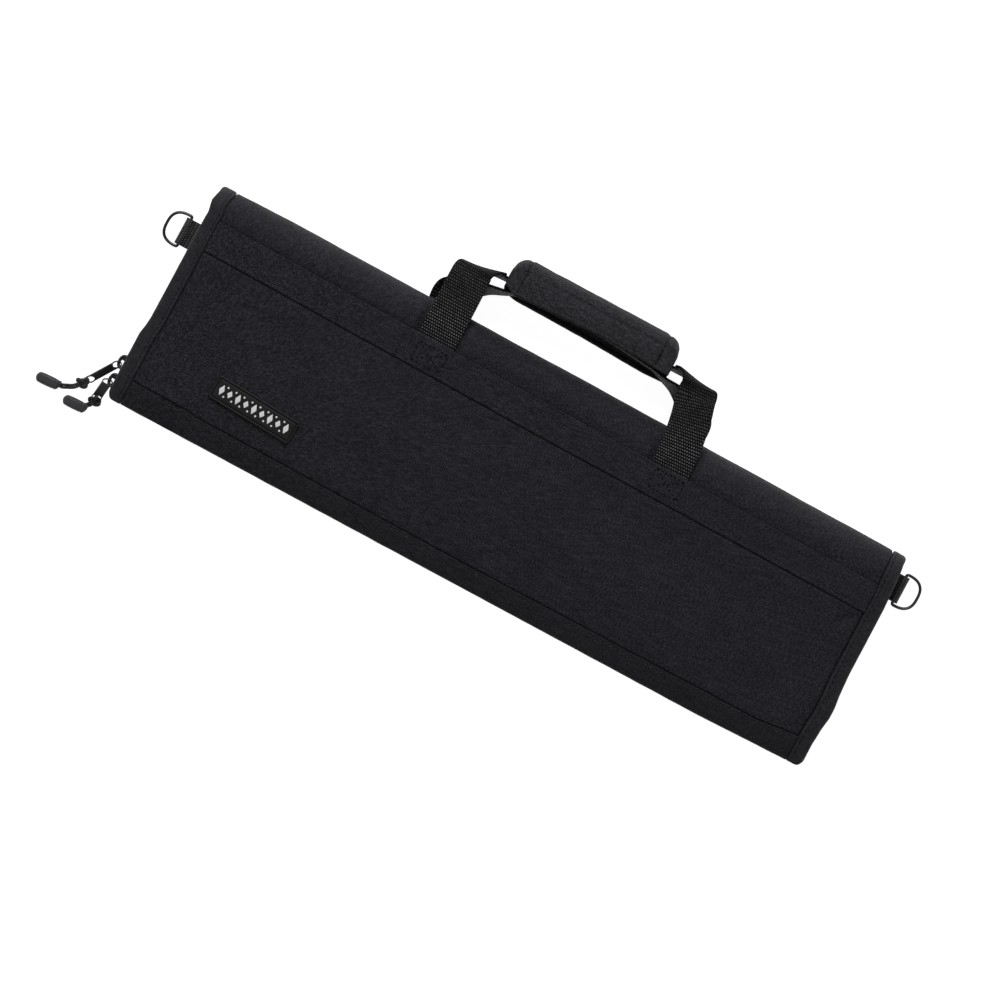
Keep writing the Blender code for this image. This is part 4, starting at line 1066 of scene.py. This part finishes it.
def build_zip_coil(name, node, keep):
    """Closed run of the zip: a core and its coil, for the places that keep(x, y) takes."""
    fine = []
    for x, y, point, out, along in zip_frames(zip_line(0.95 * MM)):
        if keep(x, y) and y < ring_bar(x)[1] * MM - RING_TAB_WIDTH / 2 - 0.3 * MM:
            fine.append((point, out, along))
    core = []
    for point, out, _ in fine[::3] + fine[-1:]:
        core.append([point + out * (d * MM) + Vector((0, 0, z * MM)) for z, d in CORE_SECTION])
    parts = [loft_data(core)]
    for k, (point, out, along) in enumerate(fine):
        shift = 0.55 * MM if k % 2 else -0.55 * MM
        loops = []
        for share, size in ((-1.0, 0.45), (-0.7, 0.95), (0.0, 1.0), (0.7, 0.95), (1.0, 0.45)):
            up = Vector((0, 0, shift + share * 1.5 * MM))
            centre = point + out * (0.62 * MM) + up + along * (0.22 * MM) * share
            loops.append(circle(centre, along, out, 0.42 * size * MM, 6, 0.5 * size * MM))
        parts.append(loft_data(loops))
    coil = new_piece(name, *joined(parts), COIL)
    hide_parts(node)


def rounded_outline(points, radius, steps=4):
    """Outline with each corner rounded."""
    result = []
    count = len(points)
    for k, corner in enumerate(points):
        before = (points[k - 1] - corner).normalized()
        after = (points[(k + 1) % count] - corner).normalized()
        for n in range(steps + 1):
            t = n / steps
            one = corner + before * radius * (1 - t)
            two = corner + after * radius * t
            result.append(one.lerp(two, t))
    return result


def flat_outline(places, radius):
    """Rounded outline from places in millimetres."""
    return rounded_outline([Vector((x, y, 0)) * MM for x, y in places], radius)


def slab_data(outline, low, high, bevel, place):
    """A slab with rounded rims from an outline in its own X and Y."""
    middle = sum(outline, Vector()) / len(outline)
    rim = ((0.0, 1.0), (0.35, 0.35), (1.0, 0.0))
    levels = [(low + bevel * rise, bevel * inset) for rise, inset in rim]
    levels += [(high - bevel * rise, bevel * inset) for rise, inset in rim[::-1]]
    loops = []
    for z, inset in levels:
        loop = []
        for p in outline:
            away = p - middle
            size = max(away.length - inset, 0.0) / away.length
            loop.append(place @ Vector((middle.x + away.x * size, middle.y + away.y * size, z)))
        loops.append(loop)
    return loft_data(loops)


def spot(place, x, y, z):
    """Point from millimetres in the axes of a place."""
    return place @ (Vector((x, y, z)) * MM)


def build_slider(name, node, y, way):
    """A slider: two plates on a post, and a bridge. way is 1 for the upper one, or else -1."""
    x = shaped(-(HALF_LENGTH - ZIP_INSET), y, MID_Z).x
    # Own axes: X along the zip towards the wide end, Y across it, Z outwards
    basis = Matrix(((0, 0, -1), (-way, 0, 0), (0, way, 0))).to_4x4()
    basis = Matrix.Translation((x, y, MID_Z)) @ basis
    plate = flat_outline(PLATE_HALF + tuple((x, -y) for x, y in PLATE_HALF[::-1]), 0.9 * MM)
    crown = flat_outline(CROWN, 0.9 * MM)
    post = flat_outline(POST, 0.3 * MM)
    parts = [slab_data(plate, 1.75 * MM, 2.85 * MM, 0.3 * MM, basis)]
    parts.append(slab_data(plate, -2.8 * MM, -1.75 * MM, 0.3 * MM, basis))
    parts.append(slab_data(crown, 2.5 * MM, 3.55 * MM, 0.4 * MM, basis))
    parts.append(slab_data(post, -2.0 * MM, 2.0 * MM, 0.1 * MM, basis))
    for edge in (-1, 1):
        rim = []
        for t in spaced(0.0, 1.0, 8):
            wide = 4.25 - 0.9 * max(0.0, t - 0.35)
            rim.append(spot(basis, 3.4 - 7.9 * t, edge * wide, 2.6))
        parts.append(tube_data(rim, 0.42 * MM, 8, first=basis.to_3x3() @ Vector((0, 0, 1))))
    bridge = []
    widths = []
    for t in spaced(0.0, 1.0, 24):
        angle = math.pi * t
        bridge.append(spot(basis, 3.8 * math.cos(angle), 0, 2.4 + 4.0 * math.sin(angle) ** 0.5))
        widths.append((1.1 + 0.7 * abs(2 * t - 1)) * MM)
    across = basis.to_3x3() @ Vector((0, 1, 0))
    parts.append(tube_data(bridge, widths, 12, first=across, highs=[1.05 * MM] * len(bridge)))
    web = flat_outline([(-way * x, z) for x, z in WEB], 0.4 * MM)
    upright = basis @ Matrix.Rotation(math.radians(90), 4, "X")
    parts.append(slab_data(web, -0.95 * MM, 0.95 * MM, 0.25 * MM, upright))
    slider = new_piece(name, *joined(parts), SLIDER_METAL)
    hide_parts(node)


def pull_frame(tab):
    eye, direction, turn = tab
    along = Vector(direction).normalized()
    across = Vector((0, 0, 1)).cross(along).normalized()
    basis = Matrix((along, across, along.cross(across))).transposed().to_4x4()
    roll = Matrix.Rotation(math.radians(-turn), 4, "X")
    return Matrix.Translation(Vector(eye) * MM) @ basis @ roll


def squared(angle, power):
    """Cosine and sine of an angle, pushed out toward a square."""
    c, s = math.cos(angle), math.sin(angle)
    return math.copysign(abs(c) ** power, c), math.copysign(abs(s) ** power, s)


def build_tab(name, node, tab):
    """Flat pull with a round eye at each end and a sunk bar between them."""
    place = pull_frame(tab)
    ring = 2.95 * MM
    parts = []
    for centre in (0.0, TAB_HOLES):
        loops = []
        for k in range(40):
            angle = 2 * math.pi * k / 40
            out = Vector((math.cos(angle), math.sin(angle), 0))
            middle = Vector((centre, 0, 0)) + out * ring
            loop = []
            for n in range(10):
                wide, high = squared(2 * math.pi * n / 10, 0.7)
                up = Vector((0, 0, 0.5 * high * MM))
                loop.append(place @ (middle + out * (0.36 * wide * MM) + up))
            loops.append(loop)
        parts.append(loft_data(loops, closed=True))
    across = place.to_3x3() @ Vector((0, 1, 0))
    for edge in (-2.8 * MM, 2.8 * MM):
        ends = spaced(1.4 * MM, TAB_HOLES - 1.4 * MM, 12)
        rail = [place @ Vector((x, edge, 0)) for x in ends]
        parts.append(tube_data(rail, 0.3 * MM, 8, first=across, highs=[0.5 * MM] * len(rail)))
    rim = new_piece(name, *joined(parts), PULL_METAL)
    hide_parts(node)
    loops = []
    for t in spaced(0.0, 1.0, 14):
        loop = []
        for z, ways in ((0.36, range(9)), (-0.36, range(8, -1, -1))):
            for n in ways:
                y = (-2.8 + 5.6 * n / 8) * MM
                start = math.sqrt(max(ring * ring - y * y, 0.0))
                loop.append(place @ Vector((start + t * (TAB_HOLES - 2 * start), y, z * MM)))
        loops.append(loop)
    bar = loft(name + "_bar", loops, PULL_FIELD, smooth=False)


def build_cord(name, node, tab, through, knot, run, grip_end):
    """Doubled cord: a loop through the tab's eye, a knot, and two strands into the grip."""
    place = pull_frame(tab)
    middle = spot(place, *knot)
    route = [Vector(p) * MM for p in run] + [Vector(grip_end) * MM]
    forward = (route[0] - middle).normalized()
    side = forward.cross(Vector((0, 0, 1))).normalized()
    up = side.cross(forward)
    long = (side + forward * 0.8).normalized()
    short = long.cross(up)
    loop = [middle + long * MM] + [spot(place, *p) for p in through] + [middle - long * MM]
    parts = [tube_data(smooth_line(loop, 6), 0.9 * MM, 10)]
    coil = []
    steps = 72
    for k in range(steps):
        t = 2 * math.pi * k / steps
        reach = 2.0 + 0.75 * math.cos(3 * t)
        one = 1.35 * reach * math.cos(2 * t)
        two = 0.8 * reach * math.sin(2 * t)
        coil.append(middle + (long * one + short * two + up * (0.95 * math.sin(3 * t))) * MM)
    parts.append(tube_data(coil, 1.0 * MM, 10, closed=True))
    core = [middle - forward * (1.6 * MM), middle, middle + forward * (1.6 * MM)]
    parts.append(tube_data(core, [0.9 * MM, 1.7 * MM, 0.9 * MM], 10))
    for edge in (-1, 1):
        strand = [middle + side * (edge * 0.6 * MM)]
        for point in route:
            along = (point - strand[-1]).normalized()
            across = along.cross(Vector((0, 0, 1))).normalized()
            strand.append(point + across * (edge * 0.85 * MM))
        strand[-1] = route[-1] + side * (edge * 0.5 * MM)
        parts.append(tube_data(smooth_line(strand, 8), 0.85 * MM, 10))
    cord = new_piece(name, *joined(parts), CORD)
    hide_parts(node)


def build_grip(name, node, centre, turn):
    """Moulded rubber pull: rounded barrel with a rim, shallow grooves and a small raised mark."""
    place = Matrix.Translation(Vector(centre) * MM) @ Matrix.Rotation(math.radians(turn), 4, "Z")
    half = 7.7
    loops = []
    for t in spaced(-1.0, 1.0, 48):
        share = math.sin(t * math.pi / 2)
        x = share * half
        end = min((1 - abs(share)) * half / 2.6, 1.0)
        size = max(math.sqrt(1 - (1 - end) ** 2), 0.3)
        belly = 1.0 - 0.08 * share * share
        sunk = sum(0.22 * bell(x - middle, 0.34) for middle in (-4.6, 4.6))
        loop = []
        for n in range(28):
            wide, high = squared(2 * math.pi * (n + 0.5) / 28, 0.62)
            y = (3.4 * belly - sunk) * size * wide
            z = (3.2 * belly - sunk) * size * high
            loop.append(spot(place, x, y, z))
        loops.append(loop)
    parts = [loft_data(loops)]
    ridge = [spot(place, -4.6 + 0.92 * k, 1.25, 2.98) for k in range(11)]
    parts.append(tube_data(ridge, 0.4 * MM, 8))
    for k in range(12):
        x = -4.4 + 0.8 * k
        bump = [spot(place, x - 0.13, 2.95, 2.3), spot(place, x + 0.13, 2.95, 2.3)]
        parts.append(tube_data(bump, 0.34 * MM, 6))
    mark = [spot(place, -2.4, y, 3.08) for y in (-1.5, -0.6, 0.3)]
    parts.append(tube_data(mark, 0.36 * MM, 6))
    collar = [spot(place, x, GRIP_COLLAR, 0.9) for x in (6.4, 8.0)]
    parts.append(tube_data(collar, 1.75 * MM, 14))
    grip = new_piece(name, *joined(parts), GRIP_RUBBER)
    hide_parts(node)


# Rings and their tabs


def build_ring(name, node, bar, side, body):
    high, corner = RING_HALF_HEIGHT, RING_CORNER
    bend = ((0.12 * corner, high - 0.55 * corner), (0.38 * corner, high - 0.2 * corner))
    path = [(0.0, (corner - high) * (1 - k / 4)) for k in range(9)]
    path += [*bend, (corner, high)]
    steps = 44
    for k in range(1, steps):
        angle = math.pi / 2 - math.pi * k / steps
        reach, lift = squared(angle, 0.75)
        path.append((corner + (RING_DEPTH - corner) * reach, high * lift))
    path += [(corner, -high)] + [(x, -y) for x, y in bend[::-1]]
    origin = Vector((bar[0] * MM, bar[1] * MM, MID_Z))
    centres = [origin + Vector((side * x, y, 0)) for x, y in path]
    ring = new_piece(name, *tube_data(centres, RING_WIRE, 16, closed=True), RING_METAL, body)
    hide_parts(node)


def open_circle(radius, slit):
    """Circle from just above its -X side round to just below it, open by a slit."""
    first = math.pi - math.asin(slit / radius)
    turns = [first * (1 - 2 * t) for t in spaced(0.0, 1.0, 24)]
    return [(radius * math.cos(angle), radius * math.sin(angle)) for angle in turns]


def build_ring_tab(name, node, bar, side):
    hole = RING_WIRE + 0.35 * MM
    root = HALF_LENGTH - ZIP_INSET - 3 * MM - abs(bar[0] * MM)
    slit = 0.12 * MM
    far = slit + RING_TAB_THICKNESS
    outer = open_circle(hole + RING_TAB_THICKNESS, far)
    section = [(root, slit)] + open_circle(hole, slit) + [(root, -slit), (root, -far)]
    section += [((root + outer[-1][0]) / 2, -far)] + outer[::-1]
    section += [((root + outer[0][0]) / 2, far), (root, far)]
    half = RING_TAB_WIDTH / 2
    rim = ((0.0, 0.82), (0.25 * MM, 0.94), (0.7 * MM, 1.0), (half / 2, 1.0))
    levels = [(d - half, size) for d, size in rim] + [(0.0, 1.0)]
    levels += [(half - d, size) for d, size in rim[::-1]]
    loops = []
    for y, size in levels:
        loop = []
        for d, z in section:
            loop.append(Vector((bar[0] * MM + side * d, bar[1] * MM + y, MID_Z + z * size)))
        loops.append(loop)
    tab = loft(name, loops, LIT_TAB_WEBBING, swap=True)
    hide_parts(node)


# Handle


def strap_section(half, thick):
    """Section of webbing: across and up, with soft edges."""
    edge = thick / 2
    top = [(-half + 0.1 * MM, edge * 0.55), (-half + 0.5 * MM, edge * 0.95)]
    for s in (-0.85, -0.6, -0.3, 0.0, 0.3, 0.6, 0.85):
        top.append((half * s, edge * (1 + 0.1 * (1 - s * s))))
    top += [(half - 0.5 * MM, edge * 0.95), (half - 0.1 * MM, edge * 0.55)]
    return [(-half, 0.0)] + top + [(half, 0.0)] + [(a, -b) for a, b in top[::-1]]


def build_webbing(name, node, stations):
    knots = [Vector(c) * MM for c, _ in stations]
    keys = arc(knots, 1.0)
    centres = smooth_line(knots, 10, keys)
    widths = smooth_line([Vector(w).normalized() for _, w in stations], 10, keys)
    section = strap_section(WEBBING_WIDTH / 2, WEBBING_THICKNESS)
    last = len(centres) - 1
    loops = []
    for k, centre in enumerate(centres):
        along = (centres[min(k + 1, last)] - centres[max(k - 1, 0)]).normalized()
        across = (widths[k] - widths[k].dot(along) * along).normalized()
        up = along.cross(across).normalized()
        loops.append([centre - across * a + up * b for a, b in section])
    total = arc(centres)
    strap = loft(name, loops, WEBBING, sizes=[min(d, total[-1] - d) for d in total])
    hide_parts(node)


def wrap_section(x, inset, steps):
    """Places round the wrap at x: (y, z), from the front lip over the crown to the back lip."""
    middle = (WRAP_LEFT + WRAP_RIGHT) / 2
    half = (WRAP_RIGHT - WRAP_LEFT) / 2
    side = half - abs(x - middle)
    t = max(0.0, 1 - side / WRAP_CORNER)
    top = WRAP_TOP - WRAP_CORNER * (1 - math.sqrt(max(0.0, 1 - t * t)))
    centre = top - WRAP_CROWN
    front, back = table(FRONT_LIP, x), table(BACK_LIP, x)
    deep = WRAP_HALF_DEPTH - inset
    crown = WRAP_CROWN - inset
    flat, turns = steps
    places = [(front + (centre - front) * k / flat, WRAP_Z + deep) for k in range(flat)]
    for k in range(turns + 1):
        angle = math.pi * k / turns
        places.append((centre + crown * math.sin(angle), WRAP_Z + deep * math.cos(angle)))
    places += [(centre + (back - centre) * k / flat, WRAP_Z - deep) for k in range(1, flat + 1)]
    return places, front, centre


def wrap_relief(x, y, z):
    """How far the padded wrap stands proud of its plain shape."""
    front = table(FRONT_LIP, x)
    ends = min(x - WRAP_LEFT, WRAP_RIGHT - x)
    relief = 0.5 * MM * ease(ends / (5 * MM))
    relief -= sum(0.85 * MM * bell(x - seam, 0.7 * MM) for seam in WRAP_SEAMS_X)
    if x < WRAP_SEAMS_X[0] or x > WRAP_SEAMS_X[1]:
        relief -= 0.35 * MM
    elif z > WRAP_Z:
        relief -= sum(0.42 * MM * bell(y - seam, 0.6 * MM) for seam in WRAP_SEAMS_Y)
        if y < WRAP_SEAMS_Y[0]:
            across = (y - front) / (WRAP_SEAMS_Y[0] - front)
            relief += 0.9 * MM * math.sin(math.pi * min(max(across, 0.0), 1.0)) ** 0.7
            relief -= 0.5 * MM * bell(y - front - LIP_SEAM, 0.6 * MM)
    relief += 0.28 * MM * soft(x, y + z, 14 * MM, 41.0) + 0.12 * MM * soft(x, y + z, 4.5 * MM, 43.0)
    return relief


def wrap_out(places, k):
    """Direction out of the wrap at one of its places round."""
    before, after = places[max(k - 1, 0)], places[min(k + 1, len(places) - 1)]
    return Vector((0, before[1] - after[1], after[0] - before[0])).normalized()


def build_wrap_cloth():
    xs = spaced(WRAP_LEFT, WRAP_RIGHT, 96)
    for seam in WRAP_SEAMS_X:
        xs += [seam - 0.6 * MM, seam, seam + 0.6 * MM]
    loops = []
    for x in sorted(xs):
        places = wrap_section(x, 0.0, (26, 28))[0]
        loop = []
        for k, (y, z) in enumerate(places):
            calm = min(1.0, (min(k, len(places) - 1 - k) + 1) / 3)
            out = wrap_out(places, k)
            loop.append(Vector((x, y, z)) + out * (wrap_relief(x, y, z) * calm))
        inner = wrap_section(x, WRAP_WALL, (6, 10))[0]
        loop += [Vector((x, y, z)) for y, z in inner[::-1]]
        loops.append(loop)
    wrap = loft("handle_wrap_cloth", loops, WRAP_CLOTH, swap=True)
    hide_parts("handle_wrap")


def build_piping(name, lip, z, radius, mat):
    """Rolled edge along one lip of the wrap."""
    line = []
    for x in spaced(WRAP_LEFT + 0.6 * MM, WRAP_RIGHT - 0.6 * MM, 110)[::5]:
        y = table(lip, x) + 0.75 * MM + 0.1 * MM * soft(x, 0, 7 * MM, 51.0)
        line.append(Vector((x, y, z)))
    rounded = smooth_line(line, 5)
    sizes = [radius * (1 + 0.06 * soft(p.x, 0, 5 * MM, 53.0)) for p in rounded]
    sizes[0] = sizes[-1] = radius * 0.5
    piping = new_piece(name, *tube_data(rounded, sizes, 14), mat)


def on_wrap(x, y, z, out, lift):
    """(point, direction) of a stitch on the padded wrap."""
    return Vector((x, y, z)) + out * (wrap_relief(x, y, z) + lift), out


def build_wrap_stitches():
    lines = []
    for seam in WRAP_SEAMS_X:
        places = wrap_section(seam, 0.0, (14, 24))[0]
        line = []
        for k, (y, z) in enumerate(places[1:-1], 1):
            line.append(on_wrap(seam, y, z, wrap_out(places, k), 0.12 * MM))
        lines.append(line)
    for seam in stitches("handle_end_stitches", lines, DARK_THREAD, 2.9 * MM, 2.3 * MM, 0.24 * MM):
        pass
    left, right = WRAP_SEAMS_X
    xs = [left + (right - left) * (k + 0.5) / 60 for k in range(60)]
    lines = []
    for y in WRAP_SEAMS_Y:
        line = []
        for x in xs:
            centre = wrap_section(x, 0.0, (2, 4))[2]
            share = min(max(y - centre, 0.0) / WRAP_CROWN, 0.98)
            level = math.sqrt(1 - share * share)
            out = Vector((0, share / WRAP_CROWN, level / WRAP_HALF_DEPTH)).normalized()
            line.append(on_wrap(x, y, WRAP_Z + WRAP_HALF_DEPTH * level, out, 0.12 * MM))
        lines.append(line)
    line = []
    for x in xs:
        y = table(FRONT_LIP, x) + LIP_SEAM
        line.append(on_wrap(x, y, WRAP_Z + WRAP_HALF_DEPTH, Vector((0, 0, 1)), 0.1 * MM))
    lines.append(line)
    for seam in stitches("handle_stitches", lines, THREAD, 2.9 * MM, 2.3 * MM, 0.16 * MM):
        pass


# Patch


def patch_place(px, py, n):
    x = PATCH_CENTRE[0] + px * math.cos(PATCH_TURN) - py * math.sin(PATCH_TURN)
    y = PATCH_CENTRE[1] + px * math.sin(PATCH_TURN) + py * math.cos(PATCH_TURN)
    return Vector((x, y, front_height(x, y) + n))


def patch_outline(length, width, radius):
    """Rounded rectangle with more points along its long sides."""
    corners = ((1, 1), (-1, 1), (-1, -1), (1, -1))

    def rim(quarter, turns):
        sx, sy = corners[quarter % 4]
        angle = math.pi / 2 * turns
        x = sx * (length / 2 - radius) + radius * math.cos(angle)
        return x, sy * (width / 2 - radius) + radius * math.sin(angle)

    loop = []
    for quarter in range(4):
        loop += [rim(quarter, quarter + k / 6) for k in range(7)]
        (x0, y0), (x1, y1) = loop[-1], rim(quarter + 1, quarter + 1)
        pieces = 3 if quarter % 2 else 12
        loop += list(zip(spaced(x0, x1, pieces), spaced(y0, y1, pieces)))[1:-1]
    return loop


def mark_data(outline, middle, steps):
    """A raised mark on the patch."""
    loops = []
    for size, n in steps:
        loops.append([patch_place(*(middle + (p - middle) * size).xy, n * MM) for p in outline])
    return loft_data(loops)


def build_patch():
    length, width = PATCH_SIZE
    loops = []
    for inset, n in PATCH_RIM:
        inset *= MM
        radius = max(1.6 * MM - inset, 0.25 * MM)
        outline = patch_outline(length - 2 * inset, width - 2 * inset, radius)
        loops.append([patch_place(x, y, n * MM) for x, y in outline])
    patch = loft("patch_plate", loops, PATCH_RUBBER)
    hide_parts("patch")
    parts = []
    gap = 2 * MARKS_REACH / (DIAMONDS - 1)
    for k in range(DIAMONDS):
        centre = Vector(((gap * k - MARKS_REACH) * MM, 0, 0))
        high = 2.5 if k % 2 else 3.5
        corners = ((0, high, 0), (1.75, 0, 0), (0, -high, 0), (-1.75, 0, 0))
        shape = [centre + Vector(p) * MM for p in corners]
        outline = rounded_outline(shape, 0.35 * MM, 2)
        parts.append(mark_data(outline, sum(outline, Vector()) / len(outline), DIAMOND_STEPS))
    for edge in (-3.1, 3.1):
        for k in range(DIAMONDS - 1):
            middle = Vector((gap * (k + 0.5) - MARKS_REACH, edge, 0)) * MM
            outline = circle(middle, Vector((1, 0, 0)), Vector((0, 1, 0)), 0.62 * MM, 12)
            parts.append(mark_data(outline, middle, DOT_STEPS))
    marks = new_piece("patch_ornament", *joined(parts), PATCH_MARKS)


# Stage


def place_in_scene(name, data):
    made = bpy.data.objects.new(name, data)
    bpy.context.scene.collection.objects.link(made)
    return made


def build_stage():
    graph = Graph("floor", 0.9, Specular_IOR_Level=0.0)
    graph.shader.inputs["Base Color"].default_value = (0.4, 0.4, 0.4, 1)
    graph.shader.inputs["Emission Color"].default_value = (1, 1, 1, 1)
    graph.shader.inputs["Emission Strength"].default_value = 0.94
    mesh = bpy.data.meshes.new("floor")
    corners = ((-6, -6), (6, -6), (6, 6), (-6, 6))
    mesh.from_pydata([(x, y, -0.15 * MM) for x, y in corners], [], [(0, 1, 2, 3)])
    mesh.materials.append(graph.mat)
    place_in_scene("floor", mesh)

    world = bpy.data.worlds.new("studio")
    world.use_nodes = True
    world.node_tree.nodes["Background"].inputs[0].default_value = (1, 1, 1, 1)
    world.node_tree.nodes["Background"].inputs[1].default_value = 0.26
    bpy.context.scene.world = world

    top = Vector((-math.sin(VIEW_TURN), math.cos(VIEW_TURN), 0))
    right = Vector((math.cos(VIEW_TURN), math.sin(VIEW_TURN), 0))
    for name, place, size, power in (
        ("key", top * 1.7 + right * 0.15 + Vector((0, 0, 1.5)), 1.2, 33.5),
        ("fill", top * -1.6 + right * 0.7 + Vector((0, 0, 1.6)), 1.8, 5.0),
    ):
        light = bpy.data.lights.new(name, "AREA")
        light.shape = "SQUARE"
        light.size = size
        light.energy = power
        lamp = place_in_scene(name, light)
        lamp.location = place
        lamp.rotation_euler = (-place).to_track_quat("-Z", "Y").to_euler()

    camera = bpy.data.cameras.new("camera")
    camera.sensor_width = 36.0
    camera.lens = 36.0 * VIEW_DISTANCE / VIEW_WIDTH
    camera.clip_end = 50.0
    seen = place_in_scene("camera", camera)
    seen.location = (*VIEW_CENTRE, MID_Z + VIEW_DISTANCE)
    seen.rotation_euler = (0.0, 0.0, VIEW_TURN)
    bpy.context.scene.camera = seen
    bpy.context.scene.view_settings.view_transform = "Standard"
    bpy.context.scene.view_settings.look = "None"


build_stage()
build_cover()
build_band("front_band_cloth", "front_band", "front")
build_band("back_band_cloth", "back_band", "back")
build_hem("front_hem_cloth", "front_hem", "front")
build_hem("back_hem_cloth", "back_hem", "back")
build_binding("left_binding_tape", "left_binding", -1)
build_binding("right_binding_tape", "right_binding", 1)
build_seam_stitches()
build_box_stitches()
build_zip_tape("zip_tape_front", "front_zip_tape", 1)
build_zip_tape("zip_tape_back", "back_zip_tape", -1)
build_zip_coil("zip_coil_upper", "upper_zip_chain", lambda x, y: x < -0.2 and y > CHAIN_BREAK[1])
build_zip_coil("zip_coil_lower", "lower_zip_chain", lambda x, y: x > -0.2 or y < CHAIN_BREAK[0])
build_slider("slider_upper", "upper_slider", UPPER_SLIDER_Y, 1)
build_slider("slider_lower", "lower_slider", LOWER_SLIDER_Y, -1)
build_tab("pull_tab_upper", "upper_pull_tab", UPPER_TAB)
build_tab("pull_tab_lower", "lower_pull_tab", LOWER_TAB)
build_cord(
    "pull_cord_upper",
    "upper_pull_cord",
    UPPER_TAB,
    ((22.8, 0.6, 1.5), (21.3, 0.3, 1.3), (21.1, 0.1, 0.0), (21.3, -0.2, -1.3), (22.8, -0.6, -1.6)),
    (25.4, 0.0, -0.3),
    ((-257.4, -76.8, 8.2), (-261.0, -78.8, 5.4), (-264.4, -80.3, 3.9)),
    (-266.6, -80.6, 3.4),
)
build_cord(
    "pull_cord_lower",
    "lower_pull_cord",
    LOWER_TAB,
    ((20.9, 0.3, 1.5), (20.6, 0.3, 0.0), (20.3, 0.2, -1.3), (19.9, -0.5, -1.2), (19.9, -0.6, 0.0)),
    (19.8, -0.4, 3.0),
    ((-243.9, -81.5, 4.6), (-244.8, -82.6, 4.1)),
    (-246.6, -84.4, 3.6),
)
build_grip("grip_upper", "upper_grip", *UPPER_GRIP)
build_grip("grip_lower", "lower_grip", *LOWER_GRIP)
build_ring("ring_left", "left_d_ring", LEFT_RING_BAR, -1, "left_ring")
build_ring("ring_right", "right_d_ring", RIGHT_RING_BAR, 1, "right_ring")
build_ring_tab("ring_tab_left", "left_ring_tab", LEFT_RING_BAR, -1)
build_ring_tab("ring_tab_right", "right_ring_tab", RIGHT_RING_BAR, 1)
build_webbing("handle_webbing_front", "front_webbing", FRONT_WEBBING)
build_webbing("handle_webbing_back", "back_webbing", BACK_WEBBING)
build_wrap_cloth()
build_piping("handle_front_piping", FRONT_LIP, FRONT_PIPING_Z, 1.15 * MM, WRAP_CLOTH)
build_piping("handle_back_piping", BACK_LIP, BACK_PIPING_Z, 1.7 * MM, SHADED_CLOTH)
build_wrap_stitches()
build_patch()
